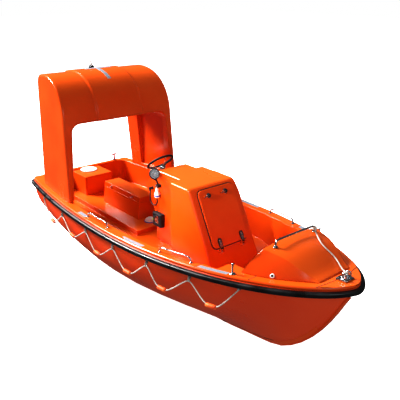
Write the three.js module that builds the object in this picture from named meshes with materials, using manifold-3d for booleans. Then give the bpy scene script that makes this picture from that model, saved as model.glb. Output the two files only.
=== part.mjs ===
// Open rescue boat with a self-righting arch, built as separate pieces.
// Millimetres. +X runs to the bow, +Y to port, +Z up.
// The origin is on the centreline, under the transom, at the waterline.
import * as THREE from 'three';
import { mergeVertices } from 'three/addons/utils/BufferGeometryUtils.js';
import Module from 'manifold-3d';

const wasm = await Module();
wasm.setup();

// Driving dimensions
const HULL_LENGTH = 5000;
const WATERLINE_TO_STERN_SHEER = 700;
const PLAN_STATIONS = [90, 350, 700, 1050, 1400, 1750, 2100, 2450, 2800, 3100, 3400,
  3650, 3850, 4030, 4180, 4310, 4430, 4540, 4640, 4730, 4810, 4870, 4915, 4950, 4975, 4990];
const TRANSOM_HALF_BEAM = 815;
const MAX_HALF_BEAM = 988;
const MAX_BEAM_AT = 2131;
const STERN_CORNER_RADIUS = 90;
const MOULDING_INSET = 30;
const SEAT_GAP = 0.3;
const FENDER_HEIGHT = 54;
const FENDER_DROP = 17;
const FENDER_OUTREACH = 42;
const GUNWALE_RISE = 52;
const GUNWALE_JOINT_RISE = 20;
const SIDE_DECK_WIDTH = 130;
const SKIN = 25;
const SOLE_TOP = 410;
const PLATFORM_TOP = 474;
const PLATFORM_HALF_WIDTH = 360;
const COCKPIT_AFT = 92;
const COCKPIT_FORE = 4060;
const PLATFORM_FORE = 2030;

// Finishes, each a colour with its roughness and metalness
const finish = (color, roughness, metalness = 0) =>
  new THREE.MeshStandardMaterial({ color, roughness, metalness });
const hullRed = finish(0xb8330f, 0.35);
const deckOrange = finish(0xf2621a, 0.35);
const blackRubber = finish(0x18191b, 0.6);
const stainless = finish(0xc4c8cc, 0.25, 1);
const castBronze = finish(0xa98144, 0.35, 1);
const whiteNylon = finish(0xeceae4, 0.5);
const blackPlastic = finish(0x1d2024, 0.5);
const whiteRope = finish(0xe9e6dc, 0.9);
const engineGrey = finish(0x5d646b, 0.5, 0.6);
const clearLens = finish(0xdfe6ea, 0.1);

const boat = new THREE.Group();
const BOW = 1e-4;
const vec = (x, y, z) => new THREE.Vector3(x, y, z);

function bareGeometry(geometry) {
  const copy = geometry.index ? geometry.clone() : geometry;
  copy.deleteAttribute('normal');
  copy.deleteAttribute('uv');
  return mergeVertices(copy, 1e-3);
}

function solidOf(geometry) {
  const bare = bareGeometry(geometry);
  return new wasm.Manifold(new wasm.Mesh({
    numProp: 3,
    vertProperties: new Float32Array(bare.attributes.position.array),
    triVerts: new Uint32Array(bare.index.array),
  }));
}

function geometryOf(solid) {
  const data = solid.getMesh();
  const geometry = new THREE.BufferGeometry();
  geometry.setAttribute('position', new THREE.Float32BufferAttribute(data.vertProperties, 3));
  geometry.setIndex(Array.from(data.triVerts));
  return geometry;
}

function piece(name, shape, material) {
  const geometry = shape.isBufferGeometry ? shape : geometryOf(shape);
  geometry.computeVertexNormals();
  const mesh = new THREE.Mesh(geometry, material);
  mesh.name = name;
  boat.add(mesh);
  return mesh;
}

function joined(solids) {
  return solids.reduce((whole, next) => whole.add(next));
}

function mirrored(solid) {
  const geometry = geometryOf(solid);
  geometry.scale(1, -1, 1);
  const index = geometry.index.array;
  for (let i = 0; i < index.length; i += 3) {
    [index[i], index[i + 1]] = [index[i + 1], index[i]];
  }
  return solidOf(geometry);
}

// A skin over rings of points, the first and last ring closed by a flat cap
function loft(rings, looped = false) {
  const count = rings[0].length;
  const positions = rings.flat().flatMap((p) => [p.x, p.y, p.z]);
  const faces = [];
  const spans = looped ? rings.length : rings.length - 1;
  for (let r = 0; r < spans; r++) {
    const here = r * count;
    const next = ((r + 1) % rings.length) * count;
    for (let i = 0; i < count; i++) {
      const j = (i + 1) % count;
      faces.push(here + i, next + j, here + j, here + i, next + i, next + j);
    }
  }
  if (!looped) {
    faces.push(...capFaces(rings[0], 0, false));
    faces.push(...capFaces(rings.at(-1), (rings.length - 1) * count, true));
  }
  const geometry = new THREE.BufferGeometry();
  geometry.setAttribute('position', new THREE.Float32BufferAttribute(positions, 3));
  geometry.setIndex(faces);
  let solid = solidOf(geometry);
  if (solid.volume() < 0) {
    for (let i = 0; i < faces.length; i += 3) {
      [faces[i], faces[i + 1]] = [faces[i + 1], faces[i]];
    }
    geometry.setIndex(faces);
    solid = solidOf(geometry);
  }
  return solid;
}

function capFaces(ring, offset, flip) {
  const normal = new THREE.Vector3();
  ring.forEach((p, i) => {
    const q = ring[(i + 1) % ring.length];
    normal.x += (p.y - q.y) * (p.z + q.z);
    normal.y += (p.z - q.z) * (p.x + q.x);
    normal.z += (p.x - q.x) * (p.y + q.y);
  });
  if (normal.length() < 1e-6) {
    return [];
  }
  normal.normalize();
  const across = new THREE.Vector3(0, 0, 1).cross(normal);
  if (across.length() < 0.1) {
    across.set(1, 0, 0);
  }
  across.normalize();
  const up = normal.clone().cross(across);
  const middle = ring.reduce((sum, p) => sum.add(p), vec(0, 0, 0)).divideScalar(ring.length);
  const reach = Math.max(...ring.map((p) => p.distanceTo(middle)));
  // The outline is bowed a hair outwards, so that points on a straight edge all keep a corner
  const flat = ring.map((p) => {
    const out = p.clone().sub(middle);
    const bow = 1 - BOW * (out.length() / reach) ** 2;
    return new THREE.Vector2(out.dot(across) * bow, out.dot(up) * bow);
  });
  const triangles = THREE.ShapeUtils.triangulateShape(flat, []);
  return triangles.flatMap(([a, b, c]) => (flip
    ? [offset + a, offset + c, offset + b]
    : [offset + a, offset + b, offset + c]));
}

// A flat outline in X and Z, given thickness across the boat
function plateXZ(outline, yFrom, yTo) {
  return loft([yFrom, yTo].map((y) => outline.map(([x, z]) => vec(x, y, z))));
}

function block(x0, x1, y0, y1, z0, z1) {
  const box = new THREE.BoxGeometry(x1 - x0, y1 - y0, z1 - z0);
  box.translate((x0 + x1) / 2, (y0 + y1) / 2, (z0 + z1) / 2);
  return solidOf(box);
}

// A round bar, disc or cone from one point to another
function bar(from, to, radiusFrom, radiusTo = radiusFrom, sides = 16) {
  const length = from.distanceTo(to);
  const rod = new THREE.CylinderGeometry(radiusTo, radiusFrom, length, sides);
  const turn = new THREE.Quaternion().setFromUnitVectors(
    vec(0, 1, 0), to.clone().sub(from).normalize());
  rod.applyQuaternion(turn);
  const middle = from.clone().add(to).multiplyScalar(0.5);
  rod.translate(middle.x, middle.y, middle.z);
  return solidOf(rod);
}

// A body of revolution about an axis, its outline given as radius and height
function turned(outline, base, axis, sides = 24) {
  const shape = new THREE.LatheGeometry(outline.map(([r, h]) => new THREE.Vector2(r, h)), sides);
  shape.applyQuaternion(new THREE.Quaternion().setFromUnitVectors(vec(0, 1, 0), axis));
  shape.translate(base.x, base.y, base.z);
  return solidOf(shape);
}

// A round tube along a smooth line through the given points
function tube(points, radius, sides, steps, closed = false) {
  const section = new THREE.Shape();
  for (let i = 0; i < sides; i++) {
    const angle = (i / sides) * Math.PI * 2;
    const at = [radius * Math.cos(angle), radius * Math.sin(angle)];
    if (i === 0) section.moveTo(...at);
    else section.lineTo(...at);
  }
  const path = new THREE.CatmullRomCurve3(points, closed, 'centripetal');
  return solidOf(new THREE.ExtrudeGeometry(section, { steps, extrudePath: path, bevelEnabled: false }));
}

// Smooth value between rows of a table of [position, value]
function smoothTable(rows) {
  const line = new THREE.SplineCurve(rows.map(([a, b]) => new THREE.Vector2(a, b)));
  const fine = line.getPoints(rows.length * 24);
  return (position) => {
    const at = Math.min(Math.max(position, rows[0][0]), rows.at(-1)[0]);
    let i = fine.findIndex((p) => p.x >= at);
    if (i < 1) i = 1;
    const [p, q] = [fine[i - 1], fine[i]];
    return p.y + (q.y - p.y) * (at - p.x) / Math.max(q.x - p.x, 1e-6);
  };
}

// Hull form: the sheer in plan and height, and the keel line
function halfBeam(x) {
  if (x <= MAX_BEAM_AT) {
    const back = (MAX_BEAM_AT - x) / MAX_BEAM_AT;
    return MAX_HALF_BEAM - (MAX_HALF_BEAM - TRANSOM_HALF_BEAM) * back ** 2;
  }
  const ahead = Math.min((x - MAX_BEAM_AT) / (HULL_LENGTH - MAX_BEAM_AT), 1);
  return MAX_HALF_BEAM * (1 - ahead ** 2.246) ** 0.617;
}

// Plan of the boat at the sheer, from the transom's middle round to the stem,
// moved inwards at right angles to itself
function planLine(inset) {
  const corner = STERN_CORNER_RADIUS;
  const line = [[inset, 0]];
  for (let i = 0; i < 6; i++) {
    const angle = (i / 6) * Math.PI / 2;
    line.push([
      corner - (corner - inset) * Math.cos(angle),
      halfBeam(corner) - corner + (corner - inset) * Math.sin(angle),
    ]);
  }
  for (const x of PLAN_STATIONS) {
    const slope = (halfBeam(x + 1) - halfBeam(x - 1)) / 2;
    const size = Math.hypot(1, slope);
    line.push([x + slope / size * inset, halfBeam(x) - inset / size]);
  }
  line.push([HULL_LENGTH - inset, 0]);
  return line.filter(([, y]) => y >= 0);
}

// Half beam of that inset plan at one distance from the transom
function insetHalfBeam(x, inset) {
  const line = planLine(inset);
  for (let i = 2; i < line.length; i++) {
    const [[x0, y0], [x1, y1]] = [line[i - 1], line[i]];
    if (x <= x1 + 1e-6) {
      return y0 + (y1 - y0) * (x - x0) / (x1 - x0);
    }
  }
  return 0;
}

function sheerHeight(x) {
  const along = x / HULL_LENGTH;
  return WATERLINE_TO_STERN_SHEER - 184 * along + 331 * along ** 2;
}

const deckTop = (x) => sheerHeight(x) + GUNWALE_RISE;

// Keel line rows: distance from the transom, height above the waterline
const keelHeight = smoothTable([
  [0, -110], [500, -200], [1100, -290], [2000, -345], [3050, -342], [3700, -262], [4060, -205],
  [4260, -118], [4470, 58], [4640, 272], [4770, 492], [4885, 715], [4990, 856],
]);

// Section shape rows along the hull: position, then how far the upper and lower
// control points stand out (of the half beam) and drop (of the depth)
const SECTION_ROWS = [
  [0, 0.97, 0.50, 0.80, 0.67],
  [2000, 0.98, 0.52, 0.80, 0.67],
  [3100, 0.97, 0.42, 0.72, 0.60],
  [3700, 0.93, 0.34, 0.60, 0.54],
  [4300, 0.84, 0.28, 0.44, 0.50],
  [5000, 0.80, 0.30, 0.40, 0.60],
];
const sectionPart = (column) => smoothTable(SECTION_ROWS.map((row) => [row[0], row[column]]));
const upperOut = sectionPart(1);
const upperDrop = sectionPart(2);
const lowerOut = sectionPart(3);
const lowerDrop = sectionPart(4);
const KEEL_LAND_HALF_WIDTH = 28;

// One side of the hull's section from the sheer down to the keel
function hullSide(x, points = 12) {
  const beam = Math.max(insetHalfBeam(x, MOULDING_INSET), 3);
  const top = sheerHeight(x);
  const keel = Math.min(keelHeight(x), top - 8);
  const depth = top - keel;
  const land = Math.min(KEEL_LAND_HALF_WIDTH, beam * 0.9);
  const curve = new THREE.CubicBezierCurve(
    new THREE.Vector2(beam, top),
    new THREE.Vector2(beam * upperOut(x), top - depth * upperDrop(x)),
    new THREE.Vector2(beam * lowerOut(x), top - depth * lowerDrop(x)),
    new THREE.Vector2(land, keel),
  );
  return curve.getPoints(points);
}

const HULL_STATIONS = planLine(MOULDING_INSET).slice(1, -1).map(([x]) => x);
HULL_STATIONS.push(HULL_LENGTH - MOULDING_INSET - 1);

function hullBody() {
  const rings = HULL_STATIONS.map((x) => {
    const side = hullSide(x);
    const rim = sheerHeight(x) + GUNWALE_JOINT_RISE;
    const beam = side[0].x;
    const starboard = side.map((p) => vec(x, -p.x, p.y));
    const port = side.toReversed().map((p) => vec(x, p.x, p.y));
    return [vec(x, -beam, rim), ...starboard, ...port, vec(x, beam, rim)];
  });
  return loft(rings);
}

// The deck moulding: gunwale slab over the whole plan, and the cockpit tub
function deckSlab(bottomRise, topRise, inset) {
  const edge = 16;
  const rings = HULL_STATIONS.map((x) => {
    const beam = Math.max(insetHalfBeam(x, MOULDING_INSET) - inset, 3);
    const low = sheerHeight(x) + bottomRise;
    const high = sheerHeight(x) + topRise;
    const soft = Math.min(edge, beam * 0.4);
    const half = [[beam, low], [beam, high - soft], [beam - soft * 0.3, high - soft * 0.3],
      [beam - soft, high]];
    return [
      ...half.map(([y, z]) => vec(x, -y, z)),
      ...half.toReversed().map(([y, z]) => vec(x, y, z)),
    ];
  });
  return loft(rings);
}

const COCKPIT_STATIONS = [0, 30, 75, 130, 500, 1000, 1500, 2000, 2500, 3000, 3300, 3600, 3800, 3968];

// Half width of the hull at one height
function hullHalfWidth(x, z) {
  const side = hullSide(x, 24);
  const i = side.findIndex((p) => p.y <= z);
  const [above, below] = [side[i - 1], side[i]];
  return below.x + (above.x - below.x) * (z - below.y) / (above.y - below.y);
}

// Half width of the cockpit: it stands clear of the hull at the sole and meets the
// side decks at the sheer
const COCKPIT_HULL_CLEARANCE = 70;

function cockpitHalfWidth(x, z) {
  const high = halfBeam(x) - MOULDING_INSET - SIDE_DECK_WIDTH;
  const low = Math.min(high, hullHalfWidth(Math.max(x, 100), SOLE_TOP - SKIN) - COCKPIT_HULL_CLEARANCE);
  return low + (high - low) * (z - SOLE_TOP) / (sheerHeight(x) - SOLE_TOP);
}

// A prism with the cockpit's plan, grown outwards by a skin thickness
function cockpitPrism(grow, bottom, top) {
  const cornerRadius = 130;
  const length = COCKPIT_FORE - COCKPIT_AFT;
  const ring = (z) => {
    const half = COCKPIT_STATIONS.map((run) => {
      const at = COCKPIT_AFT + run * length / COCKPIT_STATIONS.at(-1);
      const reach = Math.max(cornerRadius - run, 0);
      const round = cornerRadius - Math.sqrt(cornerRadius ** 2 - reach ** 2);
      const side = cockpitHalfWidth(at, z) - round * 0.98;
      const ends = run === 0 ? -grow : (run === COCKPIT_STATIONS.at(-1) ? grow : 0);
      return [at + ends, side + grow];
    });
    return [...half.map(([x, y]) => vec(x, -y, z)), ...half.toReversed().map(([x, y]) => vec(x, y, z))];
  };
  const reachUp = 1100;
  return loft([300, reachUp].map(ring)).intersect(block(-100, 5100, -1100, 1100, bottom, top));
}

// Opening in the platform over the engine
const ENGINE_WELL = { aft: 920, fore: 1715, halfWidth: 120 };

function deckLiner() {
  const slab = deckSlab(GUNWALE_JOINT_RISE + SEAT_GAP, GUNWALE_RISE, 0);
  const underDeck = deckSlab(-900, GUNWALE_JOINT_RISE + 6, 0);
  const tub = cockpitPrism(SKIN, SOLE_TOP - SKIN, 1100).intersect(underDeck);
  const space = cockpitPrism(0, SOLE_TOP, 1100);
  const platform = block(COCKPIT_AFT - SKIN, PLATFORM_FORE, -PLATFORM_HALF_WIDTH,
    PLATFORM_HALF_WIDTH, SOLE_TOP - SKIN, PLATFORM_TOP);
  const engineWell = block(ENGINE_WELL.aft, ENGINE_WELL.fore, -ENGINE_WELL.halfWidth, ENGINE_WELL.halfWidth,
    0, 2000);
  const corners = [-1, 1].map((side) => foreCorner(side).intersect(deckSlab(-900, GUNWALE_RISE, 0)));
  return joined([slab.add(tub).subtract(space), platform, ...corners]).subtract(engineWell);
}

// The cockpit's fore corners are filled in, from the sole up to the side deck
function foreCorner(side) {
  const plan = [[3843, 513], [3887, 467], [COCKPIT_FORE + 10, 467], [COCKPIT_FORE + 10, 720], [3843, 720]];
  const solid = loft([SOLE_TOP - 10, 1100].map((z) => plan.map(([x, y]) => vec(x, side * y, z))));
  return solid.intersect(cockpitPrism(10, SOLE_TOP - 10, 1100));
}

// The engine stands in a pocket of the foam under the platform
const ENGINE_BLOCK = { aft: 930, fore: 1700, halfWidth: 205, bottom: -50, top: 355 };

function hull() {
  const tubRoom = cockpitPrism(SKIN + SEAT_GAP, SOLE_TOP - SKIN - SEAT_GAP, 1100);
  const { aft, fore, halfWidth, bottom } = ENGINE_BLOCK;
  const pocket = block(aft - SEAT_GAP, fore + SEAT_GAP, -halfWidth - SEAT_GAP, halfWidth + SEAT_GAP,
    bottom - SEAT_GAP, SOLE_TOP);
  return hullBody().subtract(tubRoom).subtract(pocket);
}

function fender() {
  const inner = planLine(MOULDING_INSET - SEAT_GAP);
  const outer = planLine(MOULDING_INSET - FENDER_OUTREACH);
  const rise = FENDER_HEIGHT / 2;
  // D section rows: share of the outreach, share of the half height
  const dSection = [[0, -1], [0.45, -1], [0.8, -0.72], [1, -0.25], [1, 0.25], [0.8, 0.72],
    [0.45, 1], [0, 1]];
  const ringAt = (i, side) => dSection.map(([out, up]) => {
    const x = inner[i][0] + (outer[i][0] - inner[i][0]) * out;
    const y = inner[i][1] + (outer[i][1] - inner[i][1]) * out;
    return vec(x, side * y, sheerHeight(Math.max(inner[i][0], 0)) - FENDER_DROP + up * rise);
  });
  const last = inner.length - 1;
  const rings = [];
  for (let i = 0; i <= last; i++) rings.push(ringAt(i, 1));
  for (let i = last - 1; i > 0; i--) rings.push(ringAt(i, -1));
  return loft(rings, true);
}

const KEEL_BAND = { halfWidth: 25, thickness: 18, aft: 300, fore: 4900 };

// The band's edge, moved down from the keel at right angles to it
function keelEdge(distance) {
  const runs = HULL_STATIONS.filter((x) => x > KEEL_BAND.aft && x < KEEL_BAND.fore)
    .map((x) => new THREE.Vector2(x, keelHeight(x)));
  return runs.map((p, i) => {
    const before = runs[Math.max(i - 1, 0)];
    const after = runs[Math.min(i + 1, runs.length - 1)];
    const along = after.clone().sub(before).normalize();
    return [p.x + along.y * distance, p.y - along.x * distance];
  });
}

function keelBand() {
  const outline = [...keelEdge(SEAT_GAP), ...keelEdge(KEEL_BAND.thickness).toReversed()];
  return plateXZ(outline, -KEEL_BAND.halfWidth, KEEL_BAND.halfWidth);
}

// The line just under the band between two distances from the transom
function bandUnderside(from, to) {
  const edge = keelEdge(KEEL_BAND.thickness);
  const heightAt = (x) => {
    const i = edge.findIndex((p) => p[0] >= x);
    const [[x0, z0], [x1, z1]] = [edge[i - 1], edge[i]];
    return z0 + (z1 - z0) * (x - x0) / (x1 - x0);
  };
  const inner = edge.map(([x]) => x).filter((x) => x > from && x < to);
  return [from, ...inner, to].map((x) => [x, heightAt(x) - SEAT_GAP]);
}

// Self-righting arch: a foam-filled top on two recessed legs
const ARCH = {
  aft: 345, aftTop: 325, shoulder: 600, fore: 1200, foreFoot: 1262, springLine: 1650,
  topHeight: 2270, aftCorner: 120, sideInset: 98, lean: 0.03, edge: 34,
  panelRise: 18, panelHalfWidth: 337, openingTop: 1720, openingCorner: 110,
};

function archHalfWidth(x, z) {
  const at = Math.min(Math.max(x, ARCH.aftTop), ARCH.foreFoot);
  return halfBeam(at) - ARCH.sideInset - ARCH.lean * (z - 740);
}

function archProfile() {
  const foot = (x) => deckTop(x) + 2 * SEAT_GAP;
  const outline = [[ARCH.aft, foot(ARCH.aft)]];
  for (let i = 0; i <= 4; i++) {
    const angle = (i / 4) * Math.PI / 2;
    outline.push([
      ARCH.aftTop + ARCH.aftCorner * (1 - Math.cos(angle)),
      ARCH.topHeight - 22 - ARCH.aftCorner * (1 - Math.sin(angle)),
    ]);
  }
  const rise = ARCH.topHeight - ARCH.springLine;
  for (let i = 0; i <= 12; i++) {
    const angle = (1 - i / 12) * Math.PI / 2;
    outline.push([
      ARCH.shoulder + (ARCH.fore - ARCH.shoulder) * Math.cos(angle) ** (2 / 2.2),
      ARCH.springLine + rise * Math.sin(angle) ** (2 / 2.2),
    ]);
  }
  outline.push([ARCH.foreFoot, foot(ARCH.foreFoot)]);
  return outline;
}

// The same outline moved in at right angles, then closed along the deck under its feet
function movedOutline(outline, distance) {
  const moved = outline.map(([x, z], i) => {
    if (i === 0) return [x + distance, z];
    if (i === outline.length - 1) return [x - distance, z];
    const before = outline[i - 1];
    const after = outline[i + 1];
    const size = Math.hypot(after[0] - before[0], after[1] - before[1]);
    const along = [(after[0] - before[0]) / size, (after[1] - before[1]) / size];
    return [x + along[1] * distance, z - along[0] * distance];
  });
  return [...moved, ...[1050, 700].map((x) => [x, deckTop(x) + 2 * SEAT_GAP])];
}

function rightingArch() {
  const profile = archProfile();
  const soft = ARCH.edge;
  // Rows across the arch: distance in from its side, how far the outline is drawn in
  const rows = [[0, soft], [soft * 0.3, soft * 0.3], [soft, 0]];
  const ringAt = (sideInset, drawIn, side, centre) => movedOutline(profile, drawIn)
    .map(([x, z]) => vec(x, side * (centre ?? archHalfWidth(x, z) - sideInset), z));
  const half = (side) => [
    ...rows.map(([inset, drawIn]) => ringAt(inset, drawIn, side)),
    ringAt(0, 0, side, ARCH.panelHalfWidth + 16),
    ringAt(0, -ARCH.panelRise, side, ARCH.panelHalfWidth - 8),
  ];
  const body = loft([...half(-1), ...half(1).toReversed()]);

  const levels = [600, 1000, 1400, ARCH.openingTop - ARCH.openingCorner];
  for (let i = 1; i <= 5; i++) {
    const angle = (i / 5) * Math.PI / 2;
    levels.push(ARCH.openingTop - ARCH.openingCorner * (1 - Math.sin(angle)));
  }
  const openingRing = (z) => {
    const above = Math.max(z - (ARCH.openingTop - ARCH.openingCorner), 0);
    const round = ARCH.openingCorner - Math.sqrt(ARCH.openingCorner ** 2 - above ** 2);
    const thickness = 62 + 45 * (z - 740) / 970 + round;
    const side = [200, 350, 650, 950, 1262, 1500].map((x) => [x, archHalfWidth(x, z) - thickness]);
    return [...side.map(([x, y]) => vec(x, -y, z)), ...side.toReversed().map(([x, y]) => vec(x, y, z))];
  };
  const opening = loft(levels.map(openingRing));

  const recessRing = (side) => (z) => {
    const outer = [560, 800, 1110].map((x) => vec(x, side * (archHalfWidth(x, z) - 32), z));
    const inner = [1110, 560].map((x) => vec(x, side * (archHalfWidth(x, z) - 300), z));
    return [...outer, ...inner];
  };
  const recess = (side) => loft([790, 1200, 1600].map(recessRing(side)));
  return body.subtract(opening).subtract(recess(-1)).subtract(recess(1));
}

const BEACON = { x: 500, baseRadius: 38, domeRadius: 26 };

function archBeacon() {
  const foot = vec(BEACON.x, 0, ARCH.topHeight);
  const outline = [[0, -12], [BEACON.baseRadius, -12], [BEACON.baseRadius, 24], [30, 34],
    [BEACON.domeRadius, 36], [BEACON.domeRadius, 66], [20, 86], [9, 98], [0, 101]];
  return turned(outline, foot, vec(0, 0, 1), 20).subtract(rightingArch().translate(0, 0, SEAT_GAP));
}

// Stern locker over the steering gear, with its round hatch
const STERN_BOX = { aft: 140, fore: 535, halfWidth: 220, top: 750, edge: 12 };

function softBox(x0, x1, y0, y1, z0, z1, soft) {
  const levels = [[z0, 0], [z1 - soft, 0], [z1 - soft * 0.3, soft * 0.3], [z1, soft]];
  const corner = soft * 1.2;
  const ring = ([z, inset]) => [
    [x0 + corner, y0], [x1 - corner, y0], [x1, y0 + corner], [x1, y1 - corner],
    [x1 - corner, y1], [x0 + corner, y1], [x0, y1 - corner], [x0, y0 + corner],
  ].map(([x, y]) => vec(
    x + Math.sign((x0 + x1) / 2 - x) * inset,
    y + Math.sign((y0 + y1) / 2 - y) * inset,
    z,
  ));
  return loft(levels.map(ring));
}

function sternLocker() {
  const { aft, fore, halfWidth, top, edge } = STERN_BOX;
  return softBox(aft, fore, -halfWidth, halfWidth, PLATFORM_TOP + SEAT_GAP, top, edge);
}

function sternHatch() {
  const outline = [[0, 0], [122, 0], [122, 8], [112, 14], [96, 14], [92, 10], [0, 10]];
  return turned(outline, vec(241, 0, STERN_BOX.top + SEAT_GAP), vec(0, 0, 1), 32);
}

// Engine casing under its hinged lid, and the engine in its bay
const CASING = { aft: 891, fore: 1747, bottomHalf: 152, splitHalf: 125, topHalf: 117,
  split: 704, top: 774, wall: 14 };
const LID_AXIS = { y: CASING.splitHalf + 16, z: CASING.split + 4 };
const LID_HINGES = [1050, 1590];

function casingShape(bottom, top, bottomHalf, topHalf, inset) {
  const ring = (z, half) => [[CASING.aft + inset, -half + inset], [CASING.fore - inset, -half + inset],
    [CASING.fore - inset, half - inset], [CASING.aft + inset, half - inset]]
    .map(([x, y]) => vec(x, y, z));
  return loft([ring(bottom, bottomHalf), ring(top, topHalf)]);
}

function engineCasing() {
  const foot = PLATFORM_TOP + SEAT_GAP;
  const outside = casingShape(foot, CASING.split, CASING.bottomHalf, CASING.splitHalf, 0);
  const inside = casingShape(foot - 5, CASING.split + 5, CASING.bottomHalf, CASING.splitHalf,
    CASING.wall);
  const knuckles = LID_HINGES.map((x) => bar(
    vec(x + 21, LID_AXIS.y, LID_AXIS.z), vec(x + 41, LID_AXIS.y, LID_AXIS.z), 7, 7, 12)
    .add(block(x + 21, x + 41, CASING.splitHalf - 6, LID_AXIS.y, CASING.split - 34, CASING.split - 1)));
  return joined([outside.subtract(inside), ...knuckles]);
}

function engineLid() {
  const { split, top, splitHalf, topHalf, wall } = CASING;
  const rows = [[split + SEAT_GAP, splitHalf, 0], [top - 12, topHalf + 1, 0],
    [top - 3, topHalf - 2, 3], [top, topHalf - 10, 11]];
  const ring = ([z, half, inset]) => [[CASING.aft + inset, -half], [CASING.fore - inset, -half],
    [CASING.fore - inset, half], [CASING.aft + inset, half]].map(([x, y]) => vec(x, y, z));
  const outside = loft(rows.map(ring));
  const inside = block(CASING.aft + wall, CASING.fore - wall, -topHalf + wall, topHalf - wall,
    split - 5, top - wall);
  const knuckles = LID_HINGES.map((x) => bar(
    vec(x - 20, LID_AXIS.y, LID_AXIS.z), vec(x + 20, LID_AXIS.y, LID_AXIS.z), 7, 7, 12)
    .add(block(x - 20, x + 20, splitHalf - 8, LID_AXIS.y, split + 2, split + 11)));
  const latches = [1075, 1585].map((x) => bar(
    vec(x, -splitHalf + 14, top - 36), vec(x, -splitHalf - 6, top - 37), 14, 12, 12));
  return joined([outside.subtract(inside), ...knuckles, ...latches]);
}

function engineBlock() {
  const { aft, fore, halfWidth, bottom, top } = ENGINE_BLOCK;
  return block(aft, fore, -halfWidth, halfWidth, bottom, top);
}

// Console: a wide forward housing with a sloped front, and a narrow dash behind it
const CONSOLE = { halfWidth: 358, aft: 2700, top: 1306, edge: 40, frontSlope: 0.5055,
  doorTopX: 3048, doorTopZ: 1264, doorBottomZ: 683, dashHalfWidth: 215, wall: 25 };
const frontX = (z) => CONSOLE.doorTopX + (CONSOLE.doorTopZ - z) * CONSOLE.frontSlope;
const frontAngle = Math.atan(CONSOLE.frontSlope);
const FRONT_OUT = vec(Math.cos(frontAngle), 0, Math.sin(frontAngle));
const FRONT_UP = vec(-Math.sin(frontAngle), 0, Math.cos(frontAngle));
const onFront = (y, up, out) => vec(frontX(CONSOLE.doorBottomZ), y, CONSOLE.doorBottomZ)
  .addScaledVector(FRONT_UP, up).addScaledVector(FRONT_OUT, out);
const DOOR = { halfWidth: 254, height: 651, corner: 55, thickness: 20, hinges: [-155, 165],
  axisUp: -12, axisOut: 26, latches: [-125, 118] };

// Corners of an outline rounded, each with its own radius
function roundedOutline(corners) {
  const steps = 3;
  return corners.flatMap(([x, z, radius], i) => {
    const at = new THREE.Vector2(x, z);
    const [bx, bz] = corners[(i + corners.length - 1) % corners.length];
    const [ax, az] = corners[(i + 1) % corners.length];
    const back = new THREE.Vector2(bx, bz).sub(at).normalize();
    const ahead = new THREE.Vector2(ax, az).sub(at).normalize();
    const halfAngle = Math.acos(back.dot(ahead)) / 2;
    const reach = radius / Math.tan(halfAngle);
    const from = at.clone().addScaledVector(back, reach);
    const to = at.clone().addScaledVector(ahead, reach);
    const curve = new THREE.QuadraticBezierCurve(from, at.clone().lerp(from.clone().add(to)
      .multiplyScalar(0.5), 0.12), to);
    return curve.getPoints(steps).map((p) => [p.x, p.y]);
  });
}

// An outline in X and Z, given clockwise as [x, z, corner radius], carried across
// the boat with its two ends softened
function softPlate(corners, halfWidth, edge) {
  const drawnIn = (distance) => corners.map(([x, z, radius], i) => {
    const before = corners[(i + corners.length - 1) % corners.length];
    const after = corners[(i + 1) % corners.length];
    const a = new THREE.Vector2(x - before[0], z - before[1]).normalize();
    const b = new THREE.Vector2(after[0] - x, after[1] - z).normalize();
    const share = 1 + a.dot(b);
    return [x + (a.y + b.y) / share * distance, z - (a.x + b.x) / share * distance, radius];
  });
  const rows = [[0, edge], [edge * 0.3, edge * 0.3], [edge, 0]];
  const half = (side) => rows.map(([inset, drawIn]) => roundedOutline(drawnIn(drawIn))
    .map(([x, z]) => vec(x, side * (halfWidth - inset), z)));
  return loft([...half(-1), ...half(1).toReversed()]);
}

function consoleBody() {
  const foot = SOLE_TOP + SEAT_GAP;
  const { top, aft, edge, wall } = CONSOLE;
  const housing = softPlate([
    [aft, foot - 60, 2], [aft, top, 16], [frontX(top), top, 60], [frontX(foot - 60), foot - 60, 2],
  ], CONSOLE.halfWidth, edge);
  // To port the housing reaches further aft, and its side leans in at the top
  const shoulder = softPlate([
    [2487, foot - 60, 2], [2487, top, 16], [aft + 120, top, 2], [aft + 120, foot - 60, 2],
  ], 85, 30).translate(0, 235, 0);
  const leanAway = loft([2600, 3700].map((x) => [
    vec(x, CONSOLE.halfWidth, top - 190), vec(x, 300, top + 4), vec(x, 500, top + 4), vec(x, 500, top - 190)]));
  const dash = softPlate([
    [2255, foot - 30, 2], [2225, 750, 40], [2048, 1030, 14], [2048, 1100, 14], [2294, top, 20],
    [aft + 60, top, 2], [aft + 60, foot - 30, 2],
  ], CONSOLE.dashHalfWidth, 14);
  const inside = softPlate([
    [aft + wall, foot + 30, 4], [aft + wall, top - wall, 12],
    [frontX(top - wall) - wall - 24, top - wall, 40], [frontX(foot + 30) - wall, foot + 30, 4],
  ], CONSOLE.halfWidth - wall - 22, 12);
  const doorway = plateOnFront(DOOR.halfWidth - 30, 30, DOOR.height - 30, 30, -160, 60);
  const level = block(1900, 3600, -500, 500, 0, foot);
  const brackets = DOOR.hinges.flatMap((y) => [-1, 1].map((side) => bracketAt(y + side * 27)));
  const outside = joined([housing.subtract(leanAway), dash, shoulder]);
  return joined([outside.subtract(inside).subtract(doorway).subtract(level), ...brackets]);
}

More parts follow.
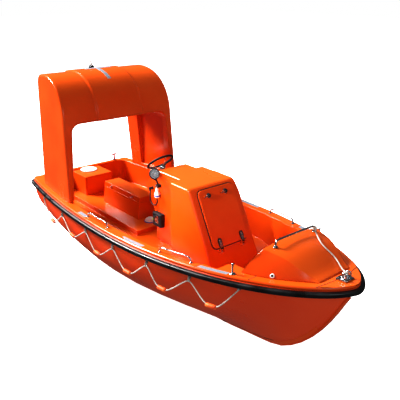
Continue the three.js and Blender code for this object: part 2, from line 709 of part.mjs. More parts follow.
// A rounded plate lying on the sloped front
function plateOnFront(halfWidth, low, high, corner, from, to) {
  const shape = new THREE.Shape();
  shape.moveTo(-halfWidth + corner, low);
  shape.lineTo(halfWidth - corner, low);
  shape.absarc(halfWidth - corner, low + corner, corner, -Math.PI / 2, 0);
  shape.lineTo(halfWidth, high - corner);
  shape.absarc(halfWidth - corner, high - corner, corner, 0, Math.PI / 2);
  shape.lineTo(-halfWidth + corner, high);
  shape.absarc(-halfWidth + corner, high - corner, corner, Math.PI / 2, Math.PI);
  shape.lineTo(-halfWidth, low + corner);
  shape.absarc(-halfWidth + corner, low + corner, corner, Math.PI, Math.PI * 1.5);
  const plate = new THREE.ExtrudeGeometry(shape, { depth: to - from, bevelEnabled: false,
    curveSegments: 5 });
  plate.translate(0, 0, from);
  const stand = new THREE.Matrix4().makeBasis(vec(0, 1, 0), FRONT_UP, FRONT_OUT);
  plate.applyMatrix4(stand);
  const origin = onFront(0, 0, 0);
  plate.translate(origin.x, origin.y, origin.z);
  return solidOf(plate);
}

// A small block in the front's own directions
function blockOnFront(y0, y1, up0, up1, out0, out1) {
  return loft([y0, y1].map((y) => [
    onFront(y, up0, out0), onFront(y, up1, out0), onFront(y, up1, out1), onFront(y, up0, out1)]));
}

function bracketAt(y) {
  const half = 9;
  const plate = blockOnFront(y - half, y + half, DOOR.axisUp - 42, DOOR.axisUp - 4, -6, DOOR.axisOut);
  const knuckle = bar(onFront(y - half, DOOR.axisUp, DOOR.axisOut),
    onFront(y + half, DOOR.axisUp, DOOR.axisOut), 8, 8, 12);
  return plate.add(knuckle);
}

function consoleDoor() {
  const { halfWidth, height, corner, thickness, axisUp, axisOut } = DOOR;
  const panel = plateOnFront(halfWidth, 0, height, corner, SEAT_GAP, thickness);
  const straps = DOOR.hinges.map((y) => blockOnFront(y - 15, y + 15, axisUp, 95,
    thickness - 2, thickness + 7)
    .add(bar(onFront(y - 16, axisUp, axisOut), onFront(y + 16, axisUp, axisOut), 8, 8, 12)));
  const latches = DOOR.latches.map((y) => bar(onFront(y, height - 75, thickness - 2),
    onFront(y, height - 75, thickness + 20), 17, 14, 12)
    .add(blockOnFront(y - 78, y + 8, height - 86, height - 70, thickness + 12, thickness + 24)));
  return joined([panel, ...straps, ...latches]);
}

// Steering wheel on its column, square to the sloped dash
const DASH_OUT = vec(-206, 0, 246).normalize();
const WHEEL = { centre: vec(2050, 0, 1310), radius: 162, rim: 12, dish: 52 };
const onColumn = (height) => WHEEL.centre.clone().addScaledVector(DASH_OUT, height);

function wheelColumn() {
  const outline = [[0, -159.4], [48, -159.4], [48, -146], [24, -134], [24, -94.3], [0, -94.3]];
  return turned(outline, WHEEL.centre, DASH_OUT, 20);
}

function steeringWheel() {
  const rim = new THREE.TorusGeometry(WHEEL.radius, WHEEL.rim, 8, 32);
  rim.applyQuaternion(new THREE.Quaternion().setFromUnitVectors(vec(0, 0, 1), DASH_OUT));
  rim.translate(WHEEL.centre.x, WHEEL.centre.y, WHEEL.centre.z);
  const hub = turned([[0, -94], [34, -94], [38, -80], [38, -WHEEL.dish], [26, -38], [0, -34]],
    WHEEL.centre, DASH_OUT, 20);
  const sideways = vec(0, 1, 0);
  const upwards = DASH_OUT.clone().cross(sideways).negate();
  const spokes = [90, 210, 330].map((degrees) => {
    const angle = THREE.MathUtils.degToRad(degrees);
    const out = sideways.clone().multiplyScalar(Math.cos(angle))
      .addScaledVector(upwards, Math.sin(angle));
    const from = onColumn(-WHEEL.dish - 8).addScaledVector(out, 20);
    const to = WHEEL.centre.clone().addScaledVector(out, WHEEL.radius);
    return bar(from, to, 10, 9, 10);
  });
  return joined([solidOf(rim), hub, ...spokes]);
}

// Searchlight on its stem, beside the dash
const LAMP = { centre: vec(2335, -292, 1292), aim: vec(0.78, -0.6, 0.16).normalize(), radius: 64 };

function searchlight() {
  const outline = [[0, -62], [24, -58], [46, -42], [57, -14], [LAMP.radius, -8], [LAMP.radius, 16],
    [56, 20], [54, 12], [0, 20]];
  const head = turned(outline, LAMP.centre, LAMP.aim, 24);
  const stem = bar(LAMP.centre.clone().add(vec(-8, 12, -50)), vec(2335, -250, 1128), 12, 12, 12);
  const clamp = block(2310, 2362, -272, -CONSOLE.dashHalfWidth - SEAT_GAP, 1118, 1150);
  return joined([head, stem, clamp]);
}

// Watertight plug for the lamp's cable, clipped to the console
const PLUG = { x: 2322, y: -252, low: 985, high: 1112 };

function cablePlug() {
  const outline = [[0, 0], [27, 0], [33, 8], [33, 46], [28, 62], [16, 74], [16, 108], [13, 127], [0, 127]];
  const body = turned(outline, vec(PLUG.x, PLUG.y, PLUG.low), vec(0, 0, 1), 16);
  return body.add(block(PLUG.x - 12, PLUG.x + 12, PLUG.y, -CONSOLE.dashHalfWidth - SEAT_GAP,
    PLUG.low + 20, PLUG.low + 44));
}

// Elbow gland on the console's side, its outlet facing down
const GLAND = { x: 2180, y: -252, height: 1060, outlet: 1034, radius: 13 };

function cableGland() {
  const { x, y, height, outlet, radius } = GLAND;
  const wall = -CONSOLE.dashHalfWidth - 2 * SEAT_GAP;
  const flange = bar(vec(x, wall, height), vec(x, wall - 5, height), 20, 18, 20);
  const arm = bar(vec(x, wall, height), vec(x, y, height), radius);
  const drop = bar(vec(x, y, height + radius), vec(x, y, outlet), radius);
  const nut = bar(vec(x, y, outlet + 14), vec(x, y, outlet), 16, 16, 6);
  return joined([flange, arm, drop, nut]);
}

// Route of the lamp's cable, chosen by hand, from the gland to the plug
const CABLE = { radius: 8, route: [
  [2180, -252, 1033.7], [2180, -252, 1012], [2180, -252, 988], [2180, -252, 963], [2180, -252, 939],
  [2185.2, -252, 912.4], [2200.8, -252, 888.8], [2224.4, -252, 873.2], [2251, -252, 868],
  [2277.6, -252, 873.2], [2301.2, -252, 888.8], [2316.8, -252, 912.4], [2322, -252, 939],
  [2322, -252, 962], [2322, -252, 984.7],
] };

function lampCable() {
  return tube(CABLE.route.map((p) => vec(...p)), CABLE.radius, 8, 26);
}

function controlBox() {
  return softBox(2250, 2420, -278, -CONSOLE.dashHalfWidth - SEAT_GAP, 622, 790, 8);
}

function floorVent() {
  const outline = [[0, 0], [66, 0], [66, 10], [58, 30], [38, 46], [16, 52], [0, 53]];
  return turned(outline, vec(1868, -48, PLATFORM_TOP + SEAT_GAP), vec(0, 0, 1), 20);
}

// Hood over the foredeck, its aft edge raked. Rows: position, foot half width,
// shoulder half width and height, and how far the middle of the top is crowned
const HOOD_ROWS = [
  [4062, 562, 424, 1064, 32], [4170, 530, 400, 1060, 32], [4240, 508, 370, 1050, 32],
  [4400, 436, 332, 1024, 28], [4540, 352, 290, 962, 20], [4640, 284, 240, 908, 12],
  [4722, 232, 206, 880, 4],
];
const HOOD = { aft: 4062, fore: 4722, wall: 24, rake: 112 };
const hoodPart = (column) => smoothTable(HOOD_ROWS.map((row) => [row[0], row[column]]));
const hoodFoot = hoodPart(1);
const hoodShoulder = hoodPart(2);
const hoodShoulderHeight = hoodPart(3);
const hoodCrown = hoodPart(4);

function hoodTop(x, y) {
  const across = Math.min(Math.abs(y) / hoodShoulder(x), 1);
  return hoodShoulderHeight(x) + hoodCrown(x) * (1 - across ** 2);
}

// One ring of the hood, from its foot to starboard over the top to its foot to port.
// The higher a point is on the ring, the further it leans forward near the aft edge
function hoodRing(footX, shrink, footRise) {
  const run = Math.min(Math.max((HOOD.fore - footX) / (HOOD.fore - HOOD.aft), 0), 1);
  const rake = HOOD.rake * run ** 1.5;
  const low = deckTop(footX) + footRise;
  const midX = footX + rake / 2;
  const topX = footX + rake;
  const foot = hoodFoot(footX) - shrink * 1.6;
  const shoulder = hoodShoulder(topX) - shrink;
  const shoulderTop = hoodShoulderHeight(topX) - shrink;
  const half = [
    [footX, foot, low],
    [midX, (foot + shoulder) / 2 + 6, Math.max((low + shoulderTop) / 2 + 8 * run, low + 1)],
    [topX, shoulder + 4 * run, Math.max(shoulderTop - 8 * run, low + 1.5)],
    ...[0.97, 0.7, 0.35].map((share) => [topX + (1 - share) * rake * 0.16, shoulder * share,
      Math.max(hoodTop(topX, shoulder * share) - shrink, low + 2)]),
  ];
  return [
    ...half.map(([x, y, z]) => vec(x, -y, z)),
    vec(topX + rake * 0.16, 0, Math.max(hoodTop(topX, 0) - shrink, low + 2)),
    ...half.toReversed().map(([x, y, z]) => vec(x, y, z)),
  ];
}

function bowHood() {
  const stations = [4062, 4124, 4180, 4240, 4320, 4400, 4470, 4540, 4590, 4640, 4680, 4722];
  const outside = loft(stations.map((x) => hoodRing(x, 0, 2 * SEAT_GAP)));
  const recess = loft([4010, 4120, 4200, 4280, 4400, 4470].map((x) => hoodRing(x, HOOD.wall, 26)));
  return outside.subtract(recess);
}

const HOOD_RAIL = { x: 4235, half: 282, rise: 62, radius: 11 };

function hoodRail() {
  const { x, half, rise, radius } = HOOD_RAIL;
  const foot = hoodTop(x, half - 24) + 2 * SEAT_GAP;
  const top = foot + rise;
  const line = [[-half, foot], [-half, foot + 22], [-half + 3, top - 18], [-half + 16, top - 3],
    [-half + 40, top], [0, top + 3], [half - 40, top], [half - 16, top - 3], [half - 3, top - 18],
    [half, foot + 22], [half, foot]].map(([y, z]) => vec(x, y, z));
  const feet = [-half, half].map((y) => bar(vec(x, y, foot - 12), vec(x, y, foot + 7), 24, 22, 16));
  return joined([tube(line, radius, 8, 34), ...feet]).subtract(bowHood().translate(0, 0, SEAT_GAP));
}

// Round drain in each side of the hood, low down
function hoodDrain(side) {
  const at = 4352;
  const sidePoint = (x, share) => {
    const ring = hoodRing(x, 0, 0);
    const [foot, above] = side < 0 ? [ring[0], ring[1]] : [ring.at(-1), ring.at(-2)];
    return foot.clone().lerp(above, share);
  };
  const middle = sidePoint(at, 0.3);
  const out = sidePoint(at, 0.8).sub(middle).cross(sidePoint(at + 40, 0.3).sub(middle)).normalize();
  if (out.z < 0) out.negate();
  const gap = out.clone().multiplyScalar(SEAT_GAP);
  return turned([[0, -4], [22, -4], [22, 6], [15, 9], [12, 5], [0, 5]], middle, out, 20)
    .subtract(bowHood().translate(gap.x, gap.y, gap.z));
}

// Bow bitt: a base plate with two rings
const BITT = { x: 4838, half: 36, aft: 4776, fore: 4888, baseHalf: 62 };

function bowBitt() {
  const { aft, fore, baseHalf } = BITT;
  const low = deckTop(fore) + 2 * SEAT_GAP;
  const base = plateXZ([[aft, deckTop(aft) + 2 * SEAT_GAP], [aft, low + 12], [aft + 4, low + 14],
    [fore - 4, low + 14], [fore, low + 12], [fore, low]], -baseHalf, baseHalf);
  const rings = [-1, 1].map((side) => {
    const ring = new THREE.TorusGeometry(25, 8, 6, 16);
    ring.rotateX(Math.PI / 2);
    ring.rotateZ(side * 0.25);
    ring.translate(BITT.x, side * BITT.half, low + 14 + 29);
    return solidOf(ring);
  });
  const pin = bar(vec(BITT.x, -BITT.half - 14, low + 24), vec(BITT.x, BITT.half + 14, low + 24), 7, 7, 10);
  return joined([base, ...rings, pin]);
}

// Painter: knotted on the hood rail, along the hood and down to the bitt
const PAINTER = { radius: 7, route: [
  [4251.4, 275.4, 1118], [4262, 262, 1106], [4285, 238, 1090], [4330, 205, 1081], [4385, 165, 1072],
  [4440, 140, 1052], [4500, 134, 1025], [4560, 145, 990], [4610, 150, 957], [4660, 134, 931],
  [4705, 105, 923], [4745, 78, 921], [4772, 63, 923], [4792, 50, 930], [4805, 39, 932],
] };

function painterRope() {
  return tube(PAINTER.route.map((p) => vec(...p)), PAINTER.radius, 8, 36);
}

// Stainless rails and posts along the side decks
const railLine = (x) => halfBeam(x) - 96;

function sideRail(from, to) {
  const rise = 56;
  const foot = (x) => Math.max(deckTop(x - 20), deckTop(x + 20)) + 3 * SEAT_GAP;
  const line = [[from, 2], [from + 3, 24], [from + 14, rise - 10], [from + 36, rise],
    [(from + to) / 2, rise + 1], [to - 36, rise], [to - 14, rise - 10], [to - 3, 24], [to, 2]]
    .map(([x, up]) => vec(x, -railLine(x), foot(x) + up));
  const feet = [from, to].map((x) => bar(
    vec(x, -railLine(x), foot(x)), vec(x, -railLine(x), foot(x) + 5), 20, 18, 12));
  return joined([tube(line, 9, 8, 26), ...feet]);
}

function crutchPost() {
  const x = 4035;
  const y = -halfBeam(x) + 88;
  const foot = deckTop(x + 30) + SEAT_GAP;
  const outline = [[0, 0], [30, 0], [30, 6], [12, 12], [10, 24], [10, 88], [16, 96], [16, 108], [0, 112]];
  return turned(outline, vec(x, y, foot), vec(0, 0, 1), 14);
}

function transomPin() {
  const foot = vec(60, 560, deckTop(60 - 24) + SEAT_GAP);
  const post = turned([[0, 0], [26, 0], [24, 14], [12, 20], [11, 100], [0, 100]], foot, vec(0, 0, 1), 14);
  const handle = bar(foot.clone().add(vec(0, -38, 94)), foot.clone().add(vec(0, 38, 94)), 12, 12, 10);
  return post.add(handle);
}

// Grab lines in bights with floats, held close under the fender.
// Routes chosen by hand: distance from the transom, out from the centreline, height
const GRAB = { radius: 7, floatRadius: 23, floatLength: 120 };
const LINE_ENDS = [[489, 850.2, 562], [4124, 632.9, 690]];
// Each bight: where it leaves its eye, the float's aft end, middle and fore end, where it reaches the next eye
const SIDE_BIGHTS = [
  [[540, 866, 492], [762, 900, 384], [846, 911, 366], [930, 921, 380], [1129, 921, 529]],
  [[1161, 922, 530], [1412, 962, 412], [1492, 968, 400], [1572, 972, 412], [1796, 957, 551]],
  [[1828, 958, 551], [2042, 983, 418], [2122, 986, 404], [2202, 985, 417], [2406, 958, 558]],
  [[2438, 957, 558], [2664, 977, 426], [2740, 975, 412], [2820, 966, 426], [3000, 915, 574]],
  [[3032, 912, 574], [3206, 916, 438], [3284, 909, 424], [3362, 895, 438], [3584, 813, 613]],
  [[3616, 806, 614], [3832, 800, 482], [3904, 782, 466], [3974, 756, 484], [4092, 668, 636]],
];

function grabLineRoute() {
  return [LINE_ENDS[0], ...SIDE_BIGHTS.flat(), LINE_ENDS[1]];
}

function grabLine() {
  const route = grabLineRoute().map(([x, y, z]) => vec(x, -y, z));
  const rope = tube(route, GRAB.radius, 8, 64);
  const floats = SIDE_BIGHTS.map((bight) => {
    const middle = vec(bight[2][0], -bight[2][1], bight[2][2]);
    const along = vec(bight[3][0] - bight[1][0], -(bight[3][1] - bight[1][1]), bight[3][2] - bight[1][2])
      .normalize().multiplyScalar(GRAB.floatLength / 2);
    return bar(middle.clone().sub(along), middle.clone().add(along), GRAB.floatRadius,
      GRAB.floatRadius, 8);
  });
  return joined([rope, ...floats]);
}

// Skeg with the stern tube and the heel under the propeller
const SHAFT_HEIGHT = -322;
const SHAFT_RADIUS = 19;
const SKEG = { halfWidth: 22, fore: 1750, aft: 430, low: -468, heelLow: -496, heelAft: 60 };
const BEARING_GAP = 0.5;
const RUDDER = { axisX: 110, stock: 19, stockTop: 240, pintle: 12, bladeTop: -172, bladeLow: -452, nose: 196, tail: -42 };

function skeg() {
  const { halfWidth, fore, aft, low, heelLow, heelAft } = SKEG;
  const topLine = bandUnderside(aft, fore);
  const noseHeight = topLine.at(-1)[1];
  const fin = plateXZ([...topLine, [fore - 20, noseHeight - 14], [aft + 30, heelLow],
    [heelAft, heelLow], [heelAft, low], [aft, low]], -halfWidth, halfWidth);
  const tubeOuter = bar(vec(aft - 30, 0, SHAFT_HEIGHT), vec(900, 0, SHAFT_HEIGHT), 36, 36, 16);
  const bore = bar(vec(aft - 60, 0, SHAFT_HEIGHT), vec(870, 0, SHAFT_HEIGHT),
    SHAFT_RADIUS + BEARING_GAP, SHAFT_RADIUS + BEARING_GAP, 24);
  const pintleHole = bar(vec(RUDDER.axisX, 0, low - 14.3), vec(RUDDER.axisX, 0, low + 40),
    RUDDER.pintle + BEARING_GAP, RUDDER.pintle + BEARING_GAP, 20);
  return fin.add(tubeOuter).subtract(bore).subtract(pintleHole);
}

function propeller() {
  const axis = vec(1, 0, 0);
  const hub = turned([[0, 0], [14, 4], [30, 22], [36, 50], [36, 112], [30, 122], [SHAFT_RADIUS, 122],
    [SHAFT_RADIUS, 620], [0, 620]], vec(236, 0, SHAFT_HEIGHT), axis, 24);
  // Blade rows: radius, chord, pitch angle, thickness
  const bladeRows = [[24, 62, 62, 16], [56, 92, 49, 12], [92, 108, 38, 8], [122, 88, 32, 6], [136, 40, 30, 4]];
  const ring = (turnBy) => ([radius, chord, pitch, thick]) => {
    const angle = THREE.MathUtils.degToRad(pitch);
    const section = [[-0.5, 0], [-0.25, -0.4], [0.1, -0.5], [0.5, 0], [0.1, 0.5], [-0.25, 0.4]];
    return section.map(([along, through]) => {
      const run = along * chord;
      const off = through * thick;
      const x = run * Math.sin(angle) + off * Math.cos(angle);
      const sideways = run * Math.cos(angle) - off * Math.sin(angle);
      return vec(236 + 80 + x, sideways, radius).applyAxisAngle(axis, turnBy)
        .add(vec(0, 0, SHAFT_HEIGHT));
    });
  };
  const blades = [0, 1, 2].map((i) => loft(bladeRows.map(ring(i * Math.PI * 2 / 3))));
  return joined([hub, ...blades]);
}

function rudder() {
  const { axisX, stock, stockTop, pintle, bladeTop, bladeLow, nose, tail } = RUDDER;
  // Plan of the blade: position, half thickness
  const plan = [[nose, 3], [nose - 14, 13], [nose - 50, 19], [axisX, 21], [60, 17], [0, 9], [tail, 3]];
  const outline = [...plan.map(([x, y]) => [x, -y]), ...plan.toReversed()];
  const rows = [[bladeLow, 0], [bladeTop, 0]];
  const blade = loft(rows.map(([z]) => outline.map(([x, y]) => vec(x, y, z))));
  const shaft = bar(vec(axisX, 0, bladeTop - 40), vec(axisX, 0, stockTop), stock, stock, 20);
  const tip = bar(vec(axisX, 0, bladeLow + 20), vec(axisX, 0, SKEG.low - 14), pintle, pintle, 20);
  return joined([blade, shaft, tip]);
}

const rudderTrunk = () => bar(vec(RUDDER.axisX, 0, -400), vec(RUDDER.axisX, 0, RUDDER.stockTop + 4),
  RUDDER.stock + BEARING_GAP, RUDDER.stock + BEARING_GAP, 20);

piece('hull', hull().subtract(rudderTrunk()), hullRed);
piece('deck_liner', deckLiner(), deckOrange);
piece('rubber_fender', fender(), blackRubber);
piece('keel_band', keelBand(), hullRed);
piece('skeg', skeg(), hullRed);
piece('propeller', propeller(), castBronze);
piece('rudder', rudder(), hullRed);
piece('righting_arch', rightingArch(), deckOrange);
piece('arch_beacon', archBeacon(), clearLens);
piece('stern_locker', sternLocker(), deckOrange);
piece('stern_hatch', sternHatch(), whiteNylon);
piece('engine_casing', engineCasing(), deckOrange);
piece('engine_lid', engineLid(), deckOrange);
piece('engine_block', engineBlock(), engineGrey);
piece('console', consoleBody(), deckOrange);
piece('console_door', consoleDoor(), deckOrange);
piece('wheel_column', wheelColumn(), stainless);
piece('steering_wheel', steeringWheel(), blackPlastic);
piece('searchlight', searchlight(), stainless);
piece('cable_plug', cablePlug(), whiteNylon);
piece('lamp_cable', lampCable(), blackRubber);
piece('cable_gland', cableGland(), blackPlastic);
piece('control_box', controlBox(), blackPlastic);
piece('floor_vent', floorVent(), whiteNylon);
piece('bow_hood', bowHood(), deckOrange);
piece('hood_rail', hoodRail(), stainless);
piece('bow_bitt', bowBitt(), stainless);
piece('painter_rope', painterRope(), whiteRope);
piece('transom_pin', transomPin(), hullRed);
for (const [side, turnOver] of [['starboard', (solid) => solid], ['port', mirrored]]) {
  piece(`hood_drain_${side}`, hoodDrain(side === 'port' ? 1 : -1), whiteNylon);
  piece(`aft_rail_${side}`, turnOver(sideRail(1775, 2225)), stainless);
  piece(`fore_rail_${side}`, turnOver(sideRail(3150, 3570)), stainless);
  piece(`crutch_post_${side}`, turnOver(crutchPost()), stainless);
  piece(`grab_line_${side}`, turnOver(grabLine()), whiteRope);
}

export default boat;
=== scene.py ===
# The look of an open rescue boat with a self-righting arch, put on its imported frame.
# Metres. +X runs to the bow, +Y to port, +Z up, and the origin is under the transom.
import math

import bmesh
import bpy
import numpy as np
from mathutils import Matrix, Vector


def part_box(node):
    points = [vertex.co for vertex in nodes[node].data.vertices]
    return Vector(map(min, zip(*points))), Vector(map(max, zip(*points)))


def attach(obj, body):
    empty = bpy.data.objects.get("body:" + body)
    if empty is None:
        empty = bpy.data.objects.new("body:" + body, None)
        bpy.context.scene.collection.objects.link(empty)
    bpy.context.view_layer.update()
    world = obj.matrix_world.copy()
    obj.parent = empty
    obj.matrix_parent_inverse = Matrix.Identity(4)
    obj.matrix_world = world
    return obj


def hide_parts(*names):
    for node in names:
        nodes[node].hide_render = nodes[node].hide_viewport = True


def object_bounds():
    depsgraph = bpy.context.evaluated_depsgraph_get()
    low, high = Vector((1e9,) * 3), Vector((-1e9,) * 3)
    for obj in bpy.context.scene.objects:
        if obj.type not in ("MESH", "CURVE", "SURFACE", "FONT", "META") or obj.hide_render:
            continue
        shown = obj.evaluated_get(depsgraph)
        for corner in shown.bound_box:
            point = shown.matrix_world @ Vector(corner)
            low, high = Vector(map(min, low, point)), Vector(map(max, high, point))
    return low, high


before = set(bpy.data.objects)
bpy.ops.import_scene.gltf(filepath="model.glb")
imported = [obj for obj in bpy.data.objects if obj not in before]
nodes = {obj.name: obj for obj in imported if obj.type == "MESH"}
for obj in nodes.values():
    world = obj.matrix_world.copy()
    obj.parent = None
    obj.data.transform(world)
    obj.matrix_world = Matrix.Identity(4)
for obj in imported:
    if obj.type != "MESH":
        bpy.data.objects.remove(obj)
cad_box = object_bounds()
scene = bpy.context.scene

# Camera
# It stands ahead of the starboard bow and looks down at the boat, tilted by under half a degree.
CAMERA_PLACE = (7.3516, -3.8660, 3.3607)
CAMERA_AZIMUTH = math.radians(49.905)
CAMERA_ELEVATION = math.radians(21.138)
CAMERA_ROLL = math.radians(0.400)
FOCAL_LENGTH_MM = 50.16
SENSOR_MM = 36.0
PICTURE_SHIFT = (0.0071, -0.0035)

lens = bpy.data.cameras.new("camera")
lens.lens = FOCAL_LENGTH_MM
lens.sensor_width = SENSOR_MM
lens.shift_x, lens.shift_y = PICTURE_SHIFT
lens.clip_end = 200.0
camera = bpy.data.objects.new("camera", lens)
scene.collection.objects.link(camera)
camera.matrix_world = (
    Matrix.Translation(CAMERA_PLACE)
    @ Matrix.Rotation(CAMERA_AZIMUTH, 4, "Z")
    @ Matrix.Rotation(math.pi / 2 - CAMERA_ELEVATION, 4, "X")
    @ Matrix.Rotation(CAMERA_ROLL, 4, "Z")
)
scene.camera = camera


# Grab lines
# White laid nylon rope hangs in bights from stainless eyes under the fender, along both sides.
# Each eye holds the rope in a seizing of thin line, and a float of hard foam is threaded on each bight.
ROPE_RADIUS = 0.007
ROPE_STRANDS = 3
ROPE_LAY = 0.030
LINE_ENDS = ((0.489, 0.8502, 0.562), (4.124, 0.6329, 0.690))
# Each bight: where it leaves its eye, the float's aft end, middle and fore end, where it meets the next eye
ROPE_BIGHTS = (
    ((0.540, 0.866, 0.492), (0.762, 0.900, 0.384), (0.846, 0.911, 0.366), (0.930, 0.921, 0.380),
     (1.129, 0.921, 0.529)),
    ((1.161, 0.922, 0.530), (1.412, 0.962, 0.412), (1.492, 0.968, 0.400), (1.572, 0.972, 0.412),
     (1.796, 0.957, 0.551)),
    ((1.828, 0.958, 0.551), (2.042, 0.983, 0.418), (2.122, 0.986, 0.404), (2.202, 0.985, 0.417),
     (2.406, 0.958, 0.558)),
    ((2.438, 0.957, 0.558), (2.664, 0.977, 0.426), (2.740, 0.975, 0.412), (2.820, 0.966, 0.426),
     (3.000, 0.915, 0.574)),
    ((3.032, 0.912, 0.574), (3.206, 0.916, 0.438), (3.284, 0.909, 0.424), (3.362, 0.895, 0.438),
     (3.584, 0.813, 0.613)),
    ((3.616, 0.806, 0.614), (3.832, 0.800, 0.482), (3.904, 0.782, 0.466), (3.974, 0.756, 0.484),
     (4.092, 0.668, 0.636)),
)
ROPE_EYES = ((0.489, 0.574), (1.145, 0.577), (1.812, 0.601), (2.422, 0.609), (3.016, 0.624), (3.600, 0.661),
             (4.124, 0.702))  # distance from the transom, height
ROPE_PLACES = 900
FLOAT_LENGTH = 0.120
FLOAT_RADIUS = 0.023
EYE_BAR = 0.0035
EYE_REACH = 0.017
EYE_HALF = 0.012
EYE_PAD_RADIUS = 0.022
EYE_BEND = 0.010
SEIZING_RADIUS = 0.0032
SEIZING_BITE = 0.001
SEIZING_THROAT = 0.014
STRAND_SIDES = 5
STRAND_DEPTH = 0.20
SPLINE_STEPS = 24
UP = (0.0, 0.0, 1.0)


def linear(hex_colour):
    """The linear colour, with alpha, of an sRGB hex value."""
    shares = [int(hex_colour[i:i + 2], 16) / 255 for i in (1, 3, 5)]
    return [*(s / 12.92 if s <= 0.04045 else ((s + 0.055) / 1.055) ** 2.4 for s in shares), 1.0]


def add(tree, kind, inputs, ramp=(), **settings):
    """A shader node of that kind. A ramp is pairs of a position and a hex colour.

    An input is given a value, or linked to a socket, or to the first output of a node.
    """
    node = tree.nodes.new("ShaderNode" + kind)
    for name, value in settings.items():
        setattr(node, name, value)
    for k, (position, hex_colour) in enumerate(ramp):
        node.color_ramp.elements[k].position = position
        node.color_ramp.elements[k].color = linear(hex_colour)
    for name, value in inputs.items():
        if isinstance(value, bpy.types.Node):
            value = value.outputs[0]
        if isinstance(value, bpy.types.NodeSocket):
            tree.links.new(value, node.inputs[name])
        else:
            node.inputs[name].default_value = value
    return node


def material(name):
    """An empty node material, its tree, and the socket that gives a place on the piece."""
    made = bpy.data.materials.new(name)
    made.use_nodes = True
    made.node_tree.nodes.clear()
    return made, made.node_tree, add(made.node_tree, "TexCoord", {}).outputs["Object"]


def joined(meshes):
    """One mesh that holds several."""
    shape = bmesh.new()
    for mesh in meshes:
        shape.from_mesh(mesh)
    whole = bpy.data.meshes.new("joined")
    shape.to_mesh(whole)
    shape.free()
    return whole


def show(name, meshes, surface, smooth_degrees=40.0, body="boat"):
    """A mesh, or several as one, that rides on a body and is smooth below that angle of its faces."""
    mesh = meshes if isinstance(meshes, bpy.types.Mesh) else joined(meshes)
    piece = bpy.data.objects.new(name, mesh)
    scene.collection.objects.link(piece)
    mesh.materials.clear()
    mesh.materials.append(surface)
    mesh.shade_smooth()
    mesh.set_sharp_from_angle(angle=math.radians(smooth_degrees))
    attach(piece, body)
    return piece


def smooth_line(points, count, closed=False):
    """The centripetal Catmull-Rom curve through the points, at evenly spaced places."""
    given = [Vector(p) for p in points]
    if closed:
        ends = [given[-1]] + given + given[:2]
    else:
        ends = [2 * given[0] - given[1]] + given + [2 * given[-1] - given[-2]]
    fine = []
    for p0, p1, p2, p3 in zip(ends, ends[1:], ends[2:], ends[3:]):
        t1 = (p1 - p0).length ** 0.5
        t2 = t1 + (p2 - p1).length ** 0.5
        t3 = t2 + (p3 - p2).length ** 0.5
        for step in range(SPLINE_STEPS):
            t = t1 + (t2 - t1) * step / SPLINE_STEPS
            a1 = p0 * ((t1 - t) / t1) + p1 * (t / t1)
            a2 = p1 * ((t2 - t) / (t2 - t1)) + p2 * ((t - t1) / (t2 - t1))
            a3 = p2 * ((t3 - t) / (t3 - t2)) + p3 * ((t - t2) / (t3 - t2))
            b1 = a1 * ((t2 - t) / t2) + a2 * (t / t2)
            b2 = a2 * ((t3 - t) / (t3 - t1)) + a3 * ((t - t1) / (t3 - t1))
            fine.append(b1 * ((t2 - t) / (t2 - t1)) + b2 * ((t - t1) / (t2 - t1)))
    fine.append(ends[-2])
    run = np.concatenate([[0.0], np.cumsum([(b - a).length for a, b in zip(fine, fine[1:])])])
    wanted = np.linspace(0.0, run[-1], count)
    table = np.array([tuple(p) for p in fine])
    return [Vector(np.array([np.interp(w, run, table[:, k]) for k in range(3)])) for w in wanted]


def skinned(rings, closed=False, capped=False):
    """A mesh with faces between rings of points. A ring of one point is a tip."""
    shape = bmesh.new()
    corners = [[shape.verts.new(place) for place in ring] for ring in rings]
    sides = max(len(ring) for ring in rings)
    pairs = list(zip(corners, corners[1:]))
    if closed:
        pairs.append((corners[-1], corners[0]))
    for here, there in pairs:
        for k in range(sides):
            n = (k + 1) % sides
            around = [ring[i % len(ring)] for ring, i in ((here, k), (here, n), (there, n), (there, k))]
            kept = [c for i, c in enumerate(around) if c not in around[:i]]
            if len(kept) > 2:
                shape.faces.new(kept)
    if capped:
        shape.faces.new(corners[0][::-1])
        shape.faces.new(corners[-1])
    bmesh.ops.recalc_face_normals(shape, faces=shape.faces)
    mesh = bpy.data.meshes.new("skinned")
    shape.to_mesh(mesh)
    shape.free()
    return mesh


def swept(line, section, twist=0.0, closed=False):
    """A section carried along a line. It is points across and up, and turns as it goes."""
    line = [Vector(place) for place in line]
    count = len(line)
    heading = (line[1] - line[0]).normalized()
    side = heading.cross(Vector((0, 0, 1)))
    if side.length < 0.1:
        side = heading.cross(Vector((0, 1, 0)))
    side.normalize()
    rings = []
    run = 0.0
    for i, place in enumerate(line):
        if i:
            run += (place - line[i - 1]).length
        ahead = line[min(i + 1, count - 1)] - line[max(i - 1, 0)]
        if closed:
            ahead = line[(i + 1) % count] - line[i - 1]
        heading = ahead.normalized()
        side = (side - heading * side.dot(heading)).normalized()
        up = side.cross(heading)
        cos, sin = math.cos(twist * run), math.sin(twist * run)
        rings.append([place + side * (across * cos - rise * sin) + up * (across * sin + rise * cos)
                      for across, rise in section])
    return skinned(rings, closed, not closed)


def round_section(across, sides=12, up=None):
    """A circle of points across and up, or an oval where its height is given too."""
    up = up or across
    return [(across * math.cos(2 * math.pi * k / sides), up * math.sin(2 * math.pi * k / sides))
            for k in range(sides)]


def flat_section(across, up):
    """A rectangle of points, from half its width and half its height."""
    return [(-across, -up), (across, -up), (across, up), (-across, up)]


